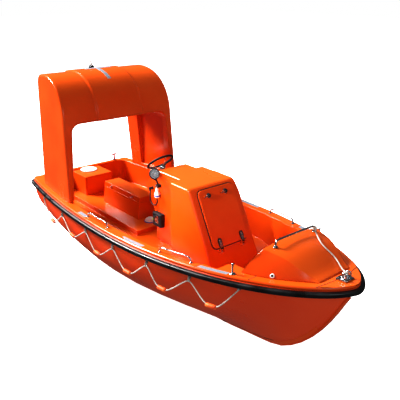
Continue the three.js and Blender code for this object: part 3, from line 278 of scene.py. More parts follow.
def laid_rope(line, radius):
    """A rope along a line: round strands, whose tops reach the radius, twisted by its lay."""
    count = ROPE_STRANDS * STRAND_SIDES
    outline = []
    for k in range(count):
        angle = 2 * math.pi * k / count
        reach = radius * (1.0 - STRAND_DEPTH * (1.0 - abs(math.cos(ROPE_STRANDS * angle / 2))))
        outline.append((reach * math.cos(angle), reach * math.sin(angle)))
    return swept(line, outline, 2 * math.pi / ROPE_LAY)


def turned(outline, base, axis, steps=40, ringed=False):
    """Rows of radius and height turned about an axis. Its ends are flat, or it closes on itself."""
    if not ringed and outline[0][0]:
        outline = [(0.0, outline[0][1]), *outline]
    if not ringed and outline[-1][0]:
        outline = [*outline, (0.0, outline[-1][1])]
    spin = Vector((0, 0, 1)).rotation_difference(Vector(axis).normalized())
    rings = []
    for radius, height in outline:
        count = steps if radius else 1
        rings.append([Vector(base) + spin @ Vector((
            radius * math.cos(2 * math.pi * k / steps), radius * math.sin(2 * math.pi * k / steps), height))
            for k in range(count)])
    return skinned(rings, ringed)


def landing(name, start, way):
    """Where a straight line meets the skin of a carried-over piece, and the way that the skin faces."""
    piece = nodes[name]
    inverse = piece.matrix_world.inverted()
    found, place, facing, _ = piece.ray_cast(
        inverse @ Vector(start), (inverse.to_3x3() @ Vector(way)).normalized())
    if not found:
        raise ValueError(f"nothing of {name} lies from {start} along {way}")
    return piece.matrix_world @ place, (piece.matrix_world.to_3x3() @ facing).normalized()


bpy.context.view_layer.update()

# Nylon rope, laid from three strands: matt and soft, grey in patches with salt and grime
rope_white, tree, where = material("laid_nylon_rope")
soiling = add(tree, "TexNoise", {"Vector": where, "Scale": 14.0, "Detail": 4.0})
yarns = add(tree, "TexNoise", {"Vector": where, "Scale": 900.0})
fuzz = add(tree, "Bump", {"Height": yarns, "Distance": 0.001, "Strength": 0.5})
add(tree, "OutputMaterial", {"Surface": add(tree, "BsdfPrincipled", {
    "Base Color": add(tree, "ValToRGB", {"Fac": soiling}, ramp=((0.35, "#A9A69E"), (0.65, "#D8D5CC"))),
    "Roughness": 0.85, "Sheen Weight": 0.2, "Normal": fuzz})})

# Closed-cell EVA foam, moulded in a skin: a satin orange with shallow dents and rubbed patches
foam_orange, tree, where = material("moulded_eva_foam")
rubbed = add(tree, "TexNoise", {"Vector": where, "Scale": 22.0, "Detail": 3.0})
dents = add(tree, "TexNoise", {"Vector": where, "Scale": 70.0})
dented = add(tree, "Bump", {"Height": dents, "Distance": 0.002, "Strength": 0.35})
add(tree, "OutputMaterial", {"Surface": add(tree, "BsdfPrincipled", {
    "Base Color": add(tree, "ValToRGB", {"Fac": rubbed}, ramp=((0.35, "#E8480C"), (0.70, "#FA7A26"))),
    "Roughness": 0.55, "Normal": dented})})

# Stainless steel 316, polished: bright and cool, with fine drawn scratches that blur what it mirrors
steel, tree, where = material("polished_stainless")
handled = add(tree, "TexNoise", {"Vector": where, "Scale": 35.0, "Detail": 4.0})
drawn = add(tree, "Mapping", {"Vector": where, "Scale": (60.0, 900.0, 900.0)})
scratches = add(tree, "TexNoise", {"Vector": drawn, "Scale": 1.0, "Detail": 3.0})
gloss = add(tree, "MapRange", {
    "Value": handled, "From Min": 0.3, "From Max": 0.7, "To Min": 0.14, "To Max": 0.30})
scratched = add(tree, "Bump", {"Height": scratches, "Distance": 0.0004, "Strength": 0.15})
add(tree, "OutputMaterial", {"Surface": add(tree, "BsdfPrincipled", {
    "Base Color": add(tree, "ValToRGB", {"Fac": handled}, ramp=((0.3, "#B9BEC4"), (0.7, "#D9DDE0"))),
    "Metallic": 1.0, "Roughness": gloss, "Normal": scratched})})

for side, name in ((-1, "starboard"), (1, "port")):
    route = [LINE_ENDS[0]]
    for bight in ROPE_BIGHTS:
        route += bight
    route.append(LINE_ENDS[1])
    route = [(x, side * y, z) for x, y, z in route]
    line = smooth_line(route, ROPE_PLACES)
    floats = []
    for bight in ROPE_BIGHTS:
        before, middle, after = (Vector((x, side * y, z)) for x, y, z in bight[1:4])
        half = FLOAT_LENGTH / 2
        floats.append(turned(
            [(0.6 * FLOAT_RADIUS, -half), (0.88 * FLOAT_RADIUS, -half + 0.005),
             (FLOAT_RADIUS, -half + 0.017), (FLOAT_RADIUS, half - 0.017),
             (0.88 * FLOAT_RADIUS, half - 0.005), (0.6 * FLOAT_RADIUS, half)], middle, after - before, 24))
    float_set = show("floats_" + name, floats, foam_orange)
    rope = show("rope_" + name, laid_rope(line, ROPE_RADIUS), rope_white, 80.0)
    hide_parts("grab_line_" + name)
    eyes = []
    seizings = []
    for x, z in ROPE_EYES:
        skin, facing = landing("hull", (x, side * 1.3, z), (0, -side, 0))
        out = skin.y + side * EYE_REACH
        knee = skin.y + side * EYE_BEND
        bend = [(x, skin.y, z + EYE_HALF), (x, knee, z + EYE_HALF), (x, out, z), (x, knee, z - EYE_HALF),
                (x, skin.y, z - EYE_HALF)]
        eyes.append(swept(smooth_line(bend, 20), round_section(EYE_BAR, 8)))
        eyes.append(turned([(EYE_PAD_RADIUS, -0.004), (EYE_PAD_RADIUS, 0.002), (0.017, 0.0045),
                            (0.0, 0.005)], skin, facing, 20))
        held = min(line, key=lambda p: abs(p.x - x))
        high = Vector((x, out - side * EYE_BAR, z + 0.004))
        reach = ROPE_RADIUS + SEIZING_RADIUS - SEIZING_BITE
        low = held - Vector((0.0, 0.0, reach))
        apart = Vector((0.0, side * reach, 0.0))
        over = Vector((0.0, side * ROPE_RADIUS, 0.0))
        throat = high - Vector((0.0, 0.0, SEIZING_THROAT))
        loop = [high + over * 0.3, throat + over, held + apart, low, held - apart, throat - over]
        seizings.append(swept(
            smooth_line(loop, 48, True)[:-1], round_section(SEIZING_RADIUS, 8), closed=True))
        for turn in (-1, 0, 1):
            seizings.append(turned([(0.0085, -0.0032), (0.0115, 0.0), (0.0085, 0.0032)],
                                   held + Vector((0.0, 0.0, 0.018 + 0.0055 * turn)), UP, 16, True))
    show("rope_seizings_" + name, seizings, rope_white, 60.0)
    show("rope_eyes_" + name, eyes, steel)


# Painter
# A laid white rope, made fast round the hood rail's port foot and lying along the hood to the bitt.
# Each end is held by round turns of the same rope.
PAINTER_RADIUS = 0.007
PAINTER_ROUTE = (
    (4.2514, 0.2754, 1.118), (4.262, 0.262, 1.106), (4.285, 0.238, 1.090), (4.330, 0.205, 1.081),
    (4.385, 0.165, 1.072), (4.440, 0.140, 1.052), (4.500, 0.134, 1.025), (4.560, 0.145, 0.990),
    (4.610, 0.150, 0.957), (4.660, 0.134, 0.931), (4.705, 0.105, 0.923), (4.745, 0.078, 0.921),
    (4.772, 0.063, 0.923), (4.792, 0.050, 0.930), (4.805, 0.039, 0.932),
)
RAIL_FOOT = (4.235, 0.282)
RAIL_TURNS = 3.0
BITT_RING_FRONT = (4.8138, 0.0298)
BITT_TURNS = 2.0
TURN_STEPS = 24


def round_turns(centre, radius, low, high, turns):
    """A line wound round an upright bar."""
    count = int(turns * TURN_STEPS)
    return [Vector((
        centre[0] + radius * math.cos(2 * math.pi * turns * k / count),
        centre[1] + radius * math.sin(2 * math.pi * turns * k / count),
        low + (high - low) * k / count)) for k in range(count + 1)]


line = smooth_line(PAINTER_ROUTE, 240)
lashings = show("painter_hitches", [
    laid_rope(round_turns(RAIL_FOOT, 0.0185, 1.084, 1.126, RAIL_TURNS), PAINTER_RADIUS),
    laid_rope(round_turns(BITT_RING_FRONT, 0.0155, 0.918, 0.946, BITT_TURNS), PAINTER_RADIUS)],
    rope_white, 80.0)
painter = show("painter", laid_rope(line, PAINTER_RADIUS), rope_white, 80.0)
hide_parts("painter_rope")


# Lamp cable and plug
# Black rubber cable hangs in one loop from an elbow gland on the dash's side to a watertight plug.
# The plug is a nylon shell with a blue locking ring, clipped to the console.
CABLE_RADIUS = 0.008
CABLE_ROUTE = (
    (2.180, -0.252, 1.0337), (2.180, -0.252, 1.012), (2.180, -0.252, 0.988), (2.180, -0.252, 0.963),
    (2.180, -0.252, 0.939), (2.1852, -0.252, 0.9124), (2.2008, -0.252, 0.8888), (2.2244, -0.252, 0.8732),
    (2.251, -0.252, 0.868), (2.2776, -0.252, 0.8732), (2.3012, -0.252, 0.8888), (2.3168, -0.252, 0.9124),
    (2.322, -0.252, 0.939), (2.322, -0.252, 0.962), (2.322, -0.252, 0.9847),
)
PLUG_BASE = (2.322, -0.252, 0.985)
PLUG_CLIP = ((2.322, -0.240, 1.017), (2.322, -0.2153, 1.017))
PLUG_RIBS = (0.080, 0.089, 0.098)

# Chloroprene rubber, extruded: near black, dull, a faint grey bloom over it
cable_black, tree, where = material("extruded_rubber_cable")
bloom = add(tree, "TexNoise", {"Vector": where, "Scale": 40.0, "Detail": 4.0})
add(tree, "OutputMaterial", {"Surface": add(tree, "BsdfPrincipled", {
    "Base Color": add(tree, "ValToRGB", {"Fac": bloom}, ramp=((0.3, "#101113"), (0.75, "#26282B"))),
    "Roughness": 0.5})})

# Nylon, injection moulded: a soft white with a slight warm cast and a satin skin
nylon, tree, where = material("moulded_white_nylon")
cast = add(tree, "TexNoise", {"Vector": where, "Scale": 18.0, "Detail": 3.0})
sparks = add(tree, "TexNoise", {"Vector": where, "Scale": 700.0})
etched = add(tree, "Bump", {"Height": sparks, "Distance": 0.0003, "Strength": 0.3})
add(tree, "OutputMaterial", {"Surface": add(tree, "BsdfPrincipled", {
    "Base Color": add(tree, "ValToRGB", {"Fac": cast}, ramp=((0.3, "#DDDAD2"), (0.7, "#F2F1EC"))),
    "Roughness": 0.38, "Subsurface Weight": 0.05, "Subsurface Scale": 0.004, "Normal": etched})})

# ABS, moulded and dyed through: a clear strong blue with a satin gloss
ring_blue, tree, where = material("moulded_blue_abs")
flow = add(tree, "TexNoise", {"Vector": where, "Scale": 60.0})
add(tree, "OutputMaterial", {"Surface": add(tree, "BsdfPrincipled", {
    "Base Color": add(tree, "ValToRGB", {"Fac": flow}, ramp=((0.3, "#0B3FA8"), (0.7, "#1554CC"))),
    "Roughness": 0.35})})

plug = show("plug_shell", [
    turned([(0.020, 0.0), (0.027, 0.002), (0.033, 0.009), (0.033, 0.046), (0.031, 0.052), (0.028, 0.062),
            (0.018, 0.072), (0.016, 0.078), (0.016, 0.106), (0.0145, 0.112), (0.013, 0.127)],
           PLUG_BASE, UP),
    *[turned([(0.0155, h), (0.0185, h + 0.001), (0.0185, h + 0.004), (0.0155, h + 0.005)],
             PLUG_BASE, UP, 32, True) for h in PLUG_RIBS],
    swept(PLUG_CLIP, flat_section(0.012, 0.012))], nylon)
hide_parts("cable_plug")
plug_ring = show("plug_ring", turned(
    [(0.031, 0.016), (0.0345, 0.017), (0.0345, 0.031), (0.031, 0.032)], PLUG_BASE, UP, 32, True),
    ring_blue)
line = smooth_line(CABLE_ROUTE, 160)
cable = show("lamp_lead", swept(line, round_section(CABLE_RADIUS, 14)), cable_black)
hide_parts("lamp_cable")


# Hull
# One glass laminate moulding, sprayed with orange-red gelcoat in a polished mould.
# Two small black skin fittings are let into its bottom; a lighter moulded lip runs along the keel, with
# painted shadow beside it.
SKIN_FITTINGS = ((3.138, -0.060), (3.343, -0.060))
KEEL_LIP_RUN = (0.42, 4.62)
KEEL_LIP_STEPS = 84
KEEL_LIP_SPREAD = (0.0285, 0.060)
KEEL_SHADOW_SPREAD = (0.060, 0.066)
KEEL_SHADOW_RUN = (0.42, 4.10)
WELD_DISTANCE = 2e-5
EASED_CORNER = math.radians(32.0)
EVENING_WEIGHT = 60


def dress(name, surface, rounding=0.0, flat_degrees=0.6):
    """A carried-over piece in its material, welded, with its hard corners eased and shaded smooth."""
    piece = nodes[name]
    mesh = piece.data
    mesh.materials.clear()
    mesh.materials.append(surface)
    if "custom_normal" in mesh.attributes:
        mesh.attributes.remove(mesh.attributes["custom_normal"])
    mesh.shade_smooth()
    weld = piece.modifiers.new("weld", "WELD")
    weld.merge_threshold = WELD_DISTANCE
    plain = piece.modifiers.new("plain", "DECIMATE")
    plain.decimate_type = "DISSOLVE"
    plain.angle_limit = math.radians(flat_degrees)
    if rounding:
        ease = piece.modifiers.new("ease", "BEVEL")
        ease.width = rounding
        ease.segments = 2
        ease.limit_method = "ANGLE"
        ease.angle_limit = EASED_CORNER
        ease.use_clamp_overlap = False
        ease.harden_normals = False
    even = piece.modifiers.new("even", "WEIGHTED_NORMAL")
    even.weight = EVENING_WEIGHT
    return piece


def laid_band(rows, lift, sink=0.0015, closed=False):
    """A thin band on a skin. Each row of it is pairs of a place and the way that it faces."""
    rings = []
    for row in rows:
        top = [Vector(place) + Vector(facing) * lift for place, facing in row]
        low = [Vector(place) - Vector(facing) * sink for place, facing in row]
        rings.append(top + low[::-1])
    return skinned(rings, closed, not closed)


# Polyester gelcoat, sprayed in a polished mould and waxed: deep orange-red, glossy, with the faint
# print of the glass cloth behind it and a slow change of tone along the side
hull_red, tree, where = material("moulded_red_gelcoat")
slow = add(tree, "TexNoise", {"Vector": where, "Scale": 1.3, "Detail": 4.0})
cloth = add(tree, "TexNoise", {"Vector": where, "Scale": 110.0})
waves = add(tree, "TexNoise", {"Vector": where, "Scale": 7.0, "Detail": 1.0})
waxed = add(tree, "MapRange", {
    "Value": slow, "From Min": 0.3, "From Max": 0.7, "To Min": 0.26, "To Max": 0.40})
unfair = add(tree, "Bump", {"Height": waves, "Distance": 0.012, "Strength": 0.10})
print_through = add(tree, "Bump", {
    "Height": cloth, "Distance": 0.0004, "Strength": 0.25, "Normal": unfair})
add(tree, "OutputMaterial", {"Surface": add(tree, "BsdfPrincipled", {
    "Base Color": add(tree, "ValToRGB", {"Fac": slow}, ramp=((0.30, "#D8400E"), (0.72, "#E24A12"))),
    "Roughness": waxed, "Specular IOR Level": 0.30, "Normal": print_through})})

# Polyester gelcoat over chopped strand, moulded and cut back: bright orange, glossy, with a slow random
# change of tone, and a painted highlight that makes every face that looks up a paler orange
deck_orange, tree, where = material("moulded_orange_gelcoat")
slow = add(tree, "TexNoise", {"Vector": where, "Scale": 1.7, "Detail": 4.0})
peel = add(tree, "TexNoise", {"Vector": where, "Scale": 120.0})
waves = add(tree, "TexNoise", {"Vector": where, "Scale": 9.0, "Detail": 1.0})
normal_parts = add(tree, "SeparateXYZ", {"Vector": add(tree, "TexCoord", {}).outputs["Normal"]})
# Painted light: the more a face looks up, the more it is mixed towards the paler #E2681C, as if lit from
# above
painted_top_light = add(tree, "MapRange", {
    "Value": normal_parts.outputs["Z"], "From Min": 0.55, "From Max": 0.98, "To Min": 0.0, "To Max": 0.55})
tone_and_painted_top_light = add(tree, "Mix", {
    "Factor": painted_top_light,
    "A": add(tree, "ValToRGB", {"Fac": slow}, ramp=((0.30, "#D6460A"), (0.72, "#DD510D"))),
    "B": linear("#E2681C")}, data_type="RGBA")
waxed = add(tree, "MapRange", {
    "Value": slow, "From Min": 0.3, "From Max": 0.7, "To Min": 0.16, "To Max": 0.28})
unfair = add(tree, "Bump", {"Height": waves, "Distance": 0.008, "Strength": 0.10})
pebbled = add(tree, "Bump", {"Height": peel, "Distance": 0.0004, "Strength": 0.25, "Normal": unfair})
add(tree, "OutputMaterial", {"Surface": add(tree, "BsdfPrincipled", {
    "Base Color": tone_and_painted_top_light.outputs["Result"], "Roughness": waxed, "Specular IOR Level": 0.42,
    "Normal": pebbled})})

# ABS, moulded with a fine spark-eroded grain: black, matt, a little grey where the light rakes it
# The same black also makes discs of painted shade in the hatch's finger recesses and the hood drains'
# holes.
grained_black, tree, where = material("grained_black_abs_and_painted_shade")
haze = add(tree, "TexNoise", {"Vector": where, "Scale": 30.0, "Detail": 3.0})
grain = add(tree, "TexNoise", {"Vector": where, "Scale": 1100.0})
grained = add(tree, "Bump", {"Height": grain, "Distance": 0.0003, "Strength": 0.5})
add(tree, "OutputMaterial", {"Surface": add(tree, "BsdfPrincipled", {
    "Base Color": add(tree, "ValToRGB", {"Fac": haze}, ramp=((0.3, "#0E1013"), (0.7, "#1E2125"))),
    "Roughness": 0.58, "Specular IOR Level": 0.3, "Normal": grained})})

# Polysulphide sealant, tooled into a joint: dark, dull and slightly uneven
# The same dark is also laid beside the keel lip as a painted shadow of the lip.
joint_filler_and_shadow, tree, where = material("tooled_joint_filler_and_painted_shadow")
tooled = add(tree, "TexNoise", {"Vector": where, "Scale": 90.0, "Detail": 3.0})
pulled = add(tree, "Bump", {"Height": tooled, "Distance": 0.0006, "Strength": 0.4})
add(tree, "OutputMaterial", {"Surface": add(tree, "BsdfPrincipled", {
    "Base Color": add(tree, "ValToRGB", {"Fac": tooled}, ramp=((0.3, "#3A0E05"), (0.7, "#6A1C08"))),
    "Roughness": 0.7, "Normal": pulled})})

dress("hull", hull_red)
fittings = []
for x, y in SKIN_FITTINGS:
    skin, facing = landing("hull", (x, y, -1.0), (0, 0, 1))
    fittings.append(turned([(0.024, -0.003), (0.024, 0.003), (0.019, 0.008), (0.010, 0.008),
                            (0.008, 0.002)], skin, facing, 24))
show("skin_fittings", fittings, grained_black)


def along_keel(side, run, spread):
    """Rows of places on the bottom beside the keel, between two distances out from it."""
    start, end = run
    rows = []
    for x in np.linspace(start, end, KEEL_LIP_STEPS + 1):
        rows.append([landing("hull", (x, side * out, -1.0), UP) for out in spread])
    return rows


show("keel_lip", [laid_band(along_keel(side, KEEL_LIP_RUN, KEEL_LIP_SPREAD), 0.0015) for side in (-1, 1)],
     deck_orange, 30.0)
# Painted shadow: a dark band laid beside each keel lip stands in for the lip's shade.
show("keel_painted_shadow", [
    laid_band(along_keel(side, KEEL_SHADOW_RUN, KEEL_SHADOW_SPREAD), 0.0008) for side in (-1, 1)],
    joint_filler_and_shadow, 30.0)


# Rubber fender
# A black D-shaped extrusion, bent round the whole boat under the gunwale and let into a flange.
# Its ends meet at the middle of the transom under a short cover plate.
HULL_LENGTH = 5.0
TRANSOM_HALF_BEAM = 0.815
MAX_HALF_BEAM = 0.988
MAX_BEAM_AT = 2.131
BOW_FULLNESS = 2.246
BOW_ROUNDNESS = 0.617
BOW_FROM = 3.9
SHEER_CURVE = (0.700, -0.184, 0.331)
DECK_RISE = 0.052
STERN_CORNER = 0.090
FENDER_BASE = -0.0297
FENDER_OUTREACH = 0.0417
FENDER_HALF_HEIGHT = 0.027
FENDER_DROP = 0.017
FENDER_STEPS = 20
COVER_HALF_THICK = 0.0012


def half_beam(x):
    """Half the boat's width at the sheer."""
    if x <= MAX_BEAM_AT:
        back = (MAX_BEAM_AT - x) / MAX_BEAM_AT
        return MAX_HALF_BEAM - (MAX_HALF_BEAM - TRANSOM_HALF_BEAM) * back ** 2
    ahead = min((x - MAX_BEAM_AT) / (HULL_LENGTH - MAX_BEAM_AT), 1.0)
    return MAX_HALF_BEAM * (1.0 - ahead ** BOW_FULLNESS) ** BOW_ROUNDNESS


def sheer_height(x):
    """The height of the joint between hull and deck."""
    along = x / HULL_LENGTH
    return sum(share * along ** power for power, share in enumerate(SHEER_CURVE))


def deck_height(x):
    """The top of the side deck."""
    return sheer_height(x) + DECK_RISE


def plan_half():
    """The boat's outline from above, from the middle of the transom round to the stem, to port."""
    line = [(0.0, y) for y in np.linspace(0.0, half_beam(STERN_CORNER) - STERN_CORNER, 14)]
    for k in range(1, 13):
        angle = math.pi / 2 * k / 12
        line.append((STERN_CORNER - STERN_CORNER * math.cos(angle),
                     half_beam(STERN_CORNER) - STERN_CORNER + STERN_CORNER * math.sin(angle)))
    line += [(x, half_beam(x)) for x in np.linspace(STERN_CORNER, BOW_FROM, 62)[1:]]
    widest = half_beam(BOW_FROM)
    for k in range(1, 49):
        y = widest * math.cos(math.pi / 2 * k / 48)
        ahead = (1.0 - (y / MAX_HALF_BEAM) ** (1 / BOW_ROUNDNESS)) ** (1 / BOW_FULLNESS)
        line.append((MAX_BEAM_AT + ahead * (HULL_LENGTH - MAX_BEAM_AT), max(y, 0.0)))
    return line


def round_the_boat(section):
    """A closed extrusion round the boat at the sheer. The section is rows of distance out and height."""
    port = plan_half()
    outline = port + [(x, -y) for x, y in port[-2:0:-1]]
    rings = []
    for i, (x, y) in enumerate(outline):
        before = outline[i - 1]
        after = outline[(i + 1) % len(outline)]
        along = Vector((after[0] - before[0], after[1] - before[1])).normalized()
        outwards = Vector((-along.y, along.x))
        rings.append([(x + outwards.x * out, y + outwards.y * out,
                       sheer_height(max(x, 0.0)) - FENDER_DROP + up) for out, up in section])
    return skinned(rings, closed=True)


# EPDM rubber, extruded: black with a low polish from the die, and dry grey scuffs where it has rubbed
fender_black, tree, where = material("extruded_epdm_rubber")
scuffs = add(tree, "TexNoise", {"Vector": where, "Scale": 6.0, "Detail": 6.0})
ribs = add(tree, "TexNoise", {"Vector": where, "Scale": 260.0})
polish = add(tree, "MapRange", {
    "Value": scuffs, "From Min": 0.35, "From Max": 0.70, "To Min": 0.24, "To Max": 0.50})
ribbed = add(tree, "Bump", {"Height": ribs, "Distance": 0.0005, "Strength": 0.3})
add(tree, "OutputMaterial", {"Surface": add(tree, "BsdfPrincipled", {
    "Base Color": add(tree, "ValToRGB", {"Fac": scuffs}, ramp=((0.35, "#0A0B0C"), (0.75, "#1D1F22"))),
    "Roughness": polish, "Normal": ribbed})})

d_section = [(FENDER_BASE, -FENDER_HALF_HEIGHT)]
for k in range(FENDER_STEPS + 1):
    angle = math.pi * (k / FENDER_STEPS - 0.5)
    d_section.append((
        FENDER_BASE + 0.012 + (FENDER_OUTREACH - 0.012) * math.cos(angle) ** 0.62,
        FENDER_HALF_HEIGHT * math.copysign(abs(math.sin(angle)) ** 0.85, angle)))
d_section.append((FENDER_BASE, FENDER_HALF_HEIGHT))
fender = show("fender_extrusion", round_the_boat(d_section), fender_black, 50.0)
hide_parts("rubber_fender")
cover_place = sheer_height(0.0) - FENDER_DROP
show("fender_joint_cover", swept(
    [(-FENDER_BASE - FENDER_OUTREACH - COVER_HALF_THICK, y, cover_place) for y in (-0.045, 0.0, 0.045)],
    flat_section(COVER_HALF_THICK, 0.022)), steel)


# Keel band, skeg, rudder and propeller
# The band and the skeg are laminate in the hull's gelcoat, and the rudder a faired blade on a steel stock.
# The propeller is cast bronze with machined blade faces, three blades on a keyed shaft.

# Manganese bronze, sand cast and ground: warm yellow brown, satin, darker where it was not ground
bronze, tree, where = material("ground_cast_bronze")
patina = add(tree, "TexNoise", {"Vector": where, "Scale": 24.0, "Detail": 5.0})
ground = add(tree, "TexNoise", {"Vector": where, "Scale": 320.0})
dull = add(tree, "MapRange", {
    "Value": patina, "From Min": 0.3, "From Max": 0.7, "To Min": 0.28, "To Max": 0.5})
marked = add(tree, "Bump", {"Height": ground, "Distance": 0.0004, "Strength": 0.3})
add(tree, "OutputMaterial", {"Surface": add(tree, "BsdfPrincipled", {
    "Base Color": add(tree, "ValToRGB", {"Fac": patina}, ramp=((0.3, "#8C6430"), (0.7, "#C2995A"))),
    "Metallic": 1.0, "Roughness": dull, "Normal": marked})})

dress("keel_band", deck_orange, 0.003)
dress("skeg", hull_red, 0.004)
dress("rudder", hull_red, 0.002)
dress("propeller", bronze)


# Deck moulding
# Gunwale, side decks, cockpit tub and raised platform are one laminate moulding in orange gelcoat.
# Pieces of silver reflective tape are stuck on the side decks, and dark sealant fills the joints ahead.
DECK_TAPES = (  # side, from, to
    (-1, 1.33, 1.77), (-1, 2.55, 2.91), (-1, 3.68, 4.00),
    (1, 1.33, 1.77), (1, 2.55, 2.91), (1, 3.68, 4.00),
)
TAPE_INNER = 0.103
TAPE_OUTER = 0.053
TAPE_THICK = 0.0012
TAPE_STEPS = 16
BOW_SEAM_X = 4.785
BOW_SEAM_HALF = 0.300
BOW_SEAM_BEND = 0.035
SEAM_WIDTH = 0.007
SEAM_STEPS = 12
SIDE_SEAMS = (3.10, 3.66, 4.22)
SIDE_SEAM_INSET = 0.040
SIDE_SEAM_LENGTH = 0.115

# Glass-bead retroreflective film: silver-grey, faintly blue, with the net of sealed cells drawn
# at 12 mm, far coarser than the real 3 mm, so that it shows
tape_silver, tree, where = material("glass_bead_tape")
cells = add(tree, "TexVoronoi", {"Vector": where, "Scale": 85.0}, feature="DISTANCE_TO_EDGE")
cell_tone = add(tree, "MapRange", {
    "Value": cells, "From Min": 0.0, "From Max": 0.12, "To Min": 0.25, "To Max": 0.75})
sealed = add(tree, "Bump", {"Height": cells, "Distance": 0.0008, "Strength": 0.3})
add(tree, "OutputMaterial", {"Surface": add(tree, "BsdfPrincipled", {
    "Base Color": add(tree, "ValToRGB", {"Fac": cell_tone}, ramp=((0.2, "#76838F"), (0.8, "#B0BCC8"))),
    "Metallic": 0.35, "Roughness": 0.42, "Normal": sealed})})

dress("deck_liner", deck_orange, 0.008)


def tape_rows(side, start, end):
    """Rows of places along a side deck, between the two edges of a tape."""
    return [[((x, side * (half_beam(x) - inset), deck_height(x)), UP)
             for inset in (TAPE_OUTER, (TAPE_INNER + TAPE_OUTER) / 2, TAPE_INNER)]
            for x in np.linspace(start, end, TAPE_STEPS + 1)]


show("deck_tapes", [
    laid_band(tape_rows(*tape), TAPE_THICK) for tape in DECK_TAPES], tape_silver, 30.0)


def seam_across(x, y_from, y_to, bend=0.0):
    """Rows of places on the deck for a joint that runs across the boat."""
    rows = []
    for k in range(SEAM_STEPS + 1):
        y = y_from + (y_to - y_from) * k / SEAM_STEPS
        middle = x - bend * (2 * k / SEAM_STEPS - 1) ** 2
        rows.append([((middle + offset, y, deck_height(middle + offset)), UP)
                     for offset in (-SEAM_WIDTH / 2, SEAM_WIDTH / 2)])
    return rows


seams = [laid_band(seam_across(BOW_SEAM_X, -BOW_SEAM_HALF, BOW_SEAM_HALF, BOW_SEAM_BEND), 0.0012)]
for x in SIDE_SEAMS:
    for side in (-1, 1):
        edge = half_beam(x) - SIDE_SEAM_INSET
        seams.append(laid_band(seam_across(x, side * (edge - SIDE_SEAM_LENGTH), side * edge), 0.0010))
show("deck_seams", seams, joint_filler_and_shadow, 30.0)


# Righting arch
# A foam-filled laminate arch that floats the boat upright, bolted down on the side decks.
# A half-round bead runs round its opening, and a cross of reflective tape is stuck on its top.
BEAD_RADIUS = 0.0075
ARCH_TAPE_HALF = 0.025
ARCH_TAPE_ACROSS = (0.630, -0.170, 0.229)
ARCH_TAPE_ALONG = (0.000, 0.548, 0.960)
OPENING_TOP = 1.720
OPENING_FOOT = 0.760
OPENING_HALF = 0.56
OPENING_CORNER = 0.110
BULGE = 0.018
BULGE_HALF = 0.353
BULGE_EASE = 0.024
ARCH_SPRING = 1.650
ARCH_FORE = 1.200
ARCH_FOOT_FORE = 1.262
ARCH_FOOT = 0.727
LEG_FOOT = 0.740
LEG_INSET = 0.098
LEG_LEAN = 0.030
LEG_THICK = 0.062
LEG_SPREAD = 0.0464

dress("righting_arch", deck_orange, 0.006)


def opening_edge(side):
    """The fore edge of the arch's opening, from its foot up and over to the middle."""
    line = []
    heights = list(np.linspace(OPENING_FOOT, OPENING_TOP - OPENING_CORNER, 18))
    heights += [OPENING_TOP - OPENING_CORNER * (1 - math.sin(math.pi / 2 * k / 8)) for k in range(1, 9)]
    for z in heights:
        above = max(z - (OPENING_TOP - OPENING_CORNER), 0.0)
        round_off = OPENING_CORNER - math.sqrt(max(OPENING_CORNER ** 2 - above ** 2, 0.0))
        x = ARCH_FORE + max(ARCH_SPRING - z, 0.0) / (ARCH_SPRING - ARCH_FOOT) * (ARCH_FOOT_FORE - ARCH_FORE)
        inset = LEG_INSET + LEG_THICK + (LEG_LEAN + LEG_SPREAD) * (z - LEG_FOOT)
        y = half_beam(x) - inset - round_off
        line.append(Vector((x, side * y, z)))
    for y in np.linspace(OPENING_HALF, 0.0, 12):
        bulge = BULGE * min(max((BULGE_HALF - y) / BULGE_EASE, 0.0), 1.0)
        line.append(Vector((ARCH_FORE + bulge, side * y, OPENING_TOP)))
    return line


whole_edge = opening_edge(-1) + opening_edge(1)[-2::-1]
show("opening_bead", swept(whole_edge, round_section(BEAD_RADIUS, 10)), deck_orange)


def arch_rows(places):
    """Rows of places on top of the arch, straight under the given ones."""
    return [[(landing("righting_arch", (x, y, 3.0), (0, 0, -1))[0], UP) for x, y in row] for row in places]


tape_x, tape_from, tape_to = ARCH_TAPE_ACROSS
across = arch_rows([[(tape_x + t * ARCH_TAPE_HALF, y) for t in (-1, -0.33, 0.33, 1)]
                    for y in np.linspace(tape_from, tape_to, 14)])
tape_y, tape_from, tape_to = ARCH_TAPE_ALONG
along = arch_rows([[(x, tape_y + t * ARCH_TAPE_HALF) for t in (-1, -0.33, 0.33, 1)]
                   for x in np.linspace(tape_from, tape_to, 30)])
show("arch_tapes", [laid_band(across, 0.0020), laid_band(along, 0.0014)], tape_silver,
     30.0)


# Arch beacon
# A position light: a black foot screwed to the arch, and a clear polycarbonate dome over its lamp.
BEACON_PLACE = (0.5, 0.0, 2.2700)

# Polycarbonate, moulded clear: glassy with a faint cool tint and rings left by the mould
clear_pc, tree, where = material("moulded_clear_polycarbonate")
moulded = add(tree, "TexWave", {"Vector": where, "Scale": 60.0}, bands_direction="Z")
ringed_bump = add(tree, "Bump", {"Height": moulded.outputs["Fac"], "Distance": 0.0008, "Strength": 0.3})
add(tree, "OutputMaterial", {"Surface": add(tree, "BsdfPrincipled", {
    "Base Color": linear("#E4EDF2"), "Roughness": 0.06, "Transmission Weight": 0.85, "IOR": 1.45,
    "Normal": ringed_bump})})

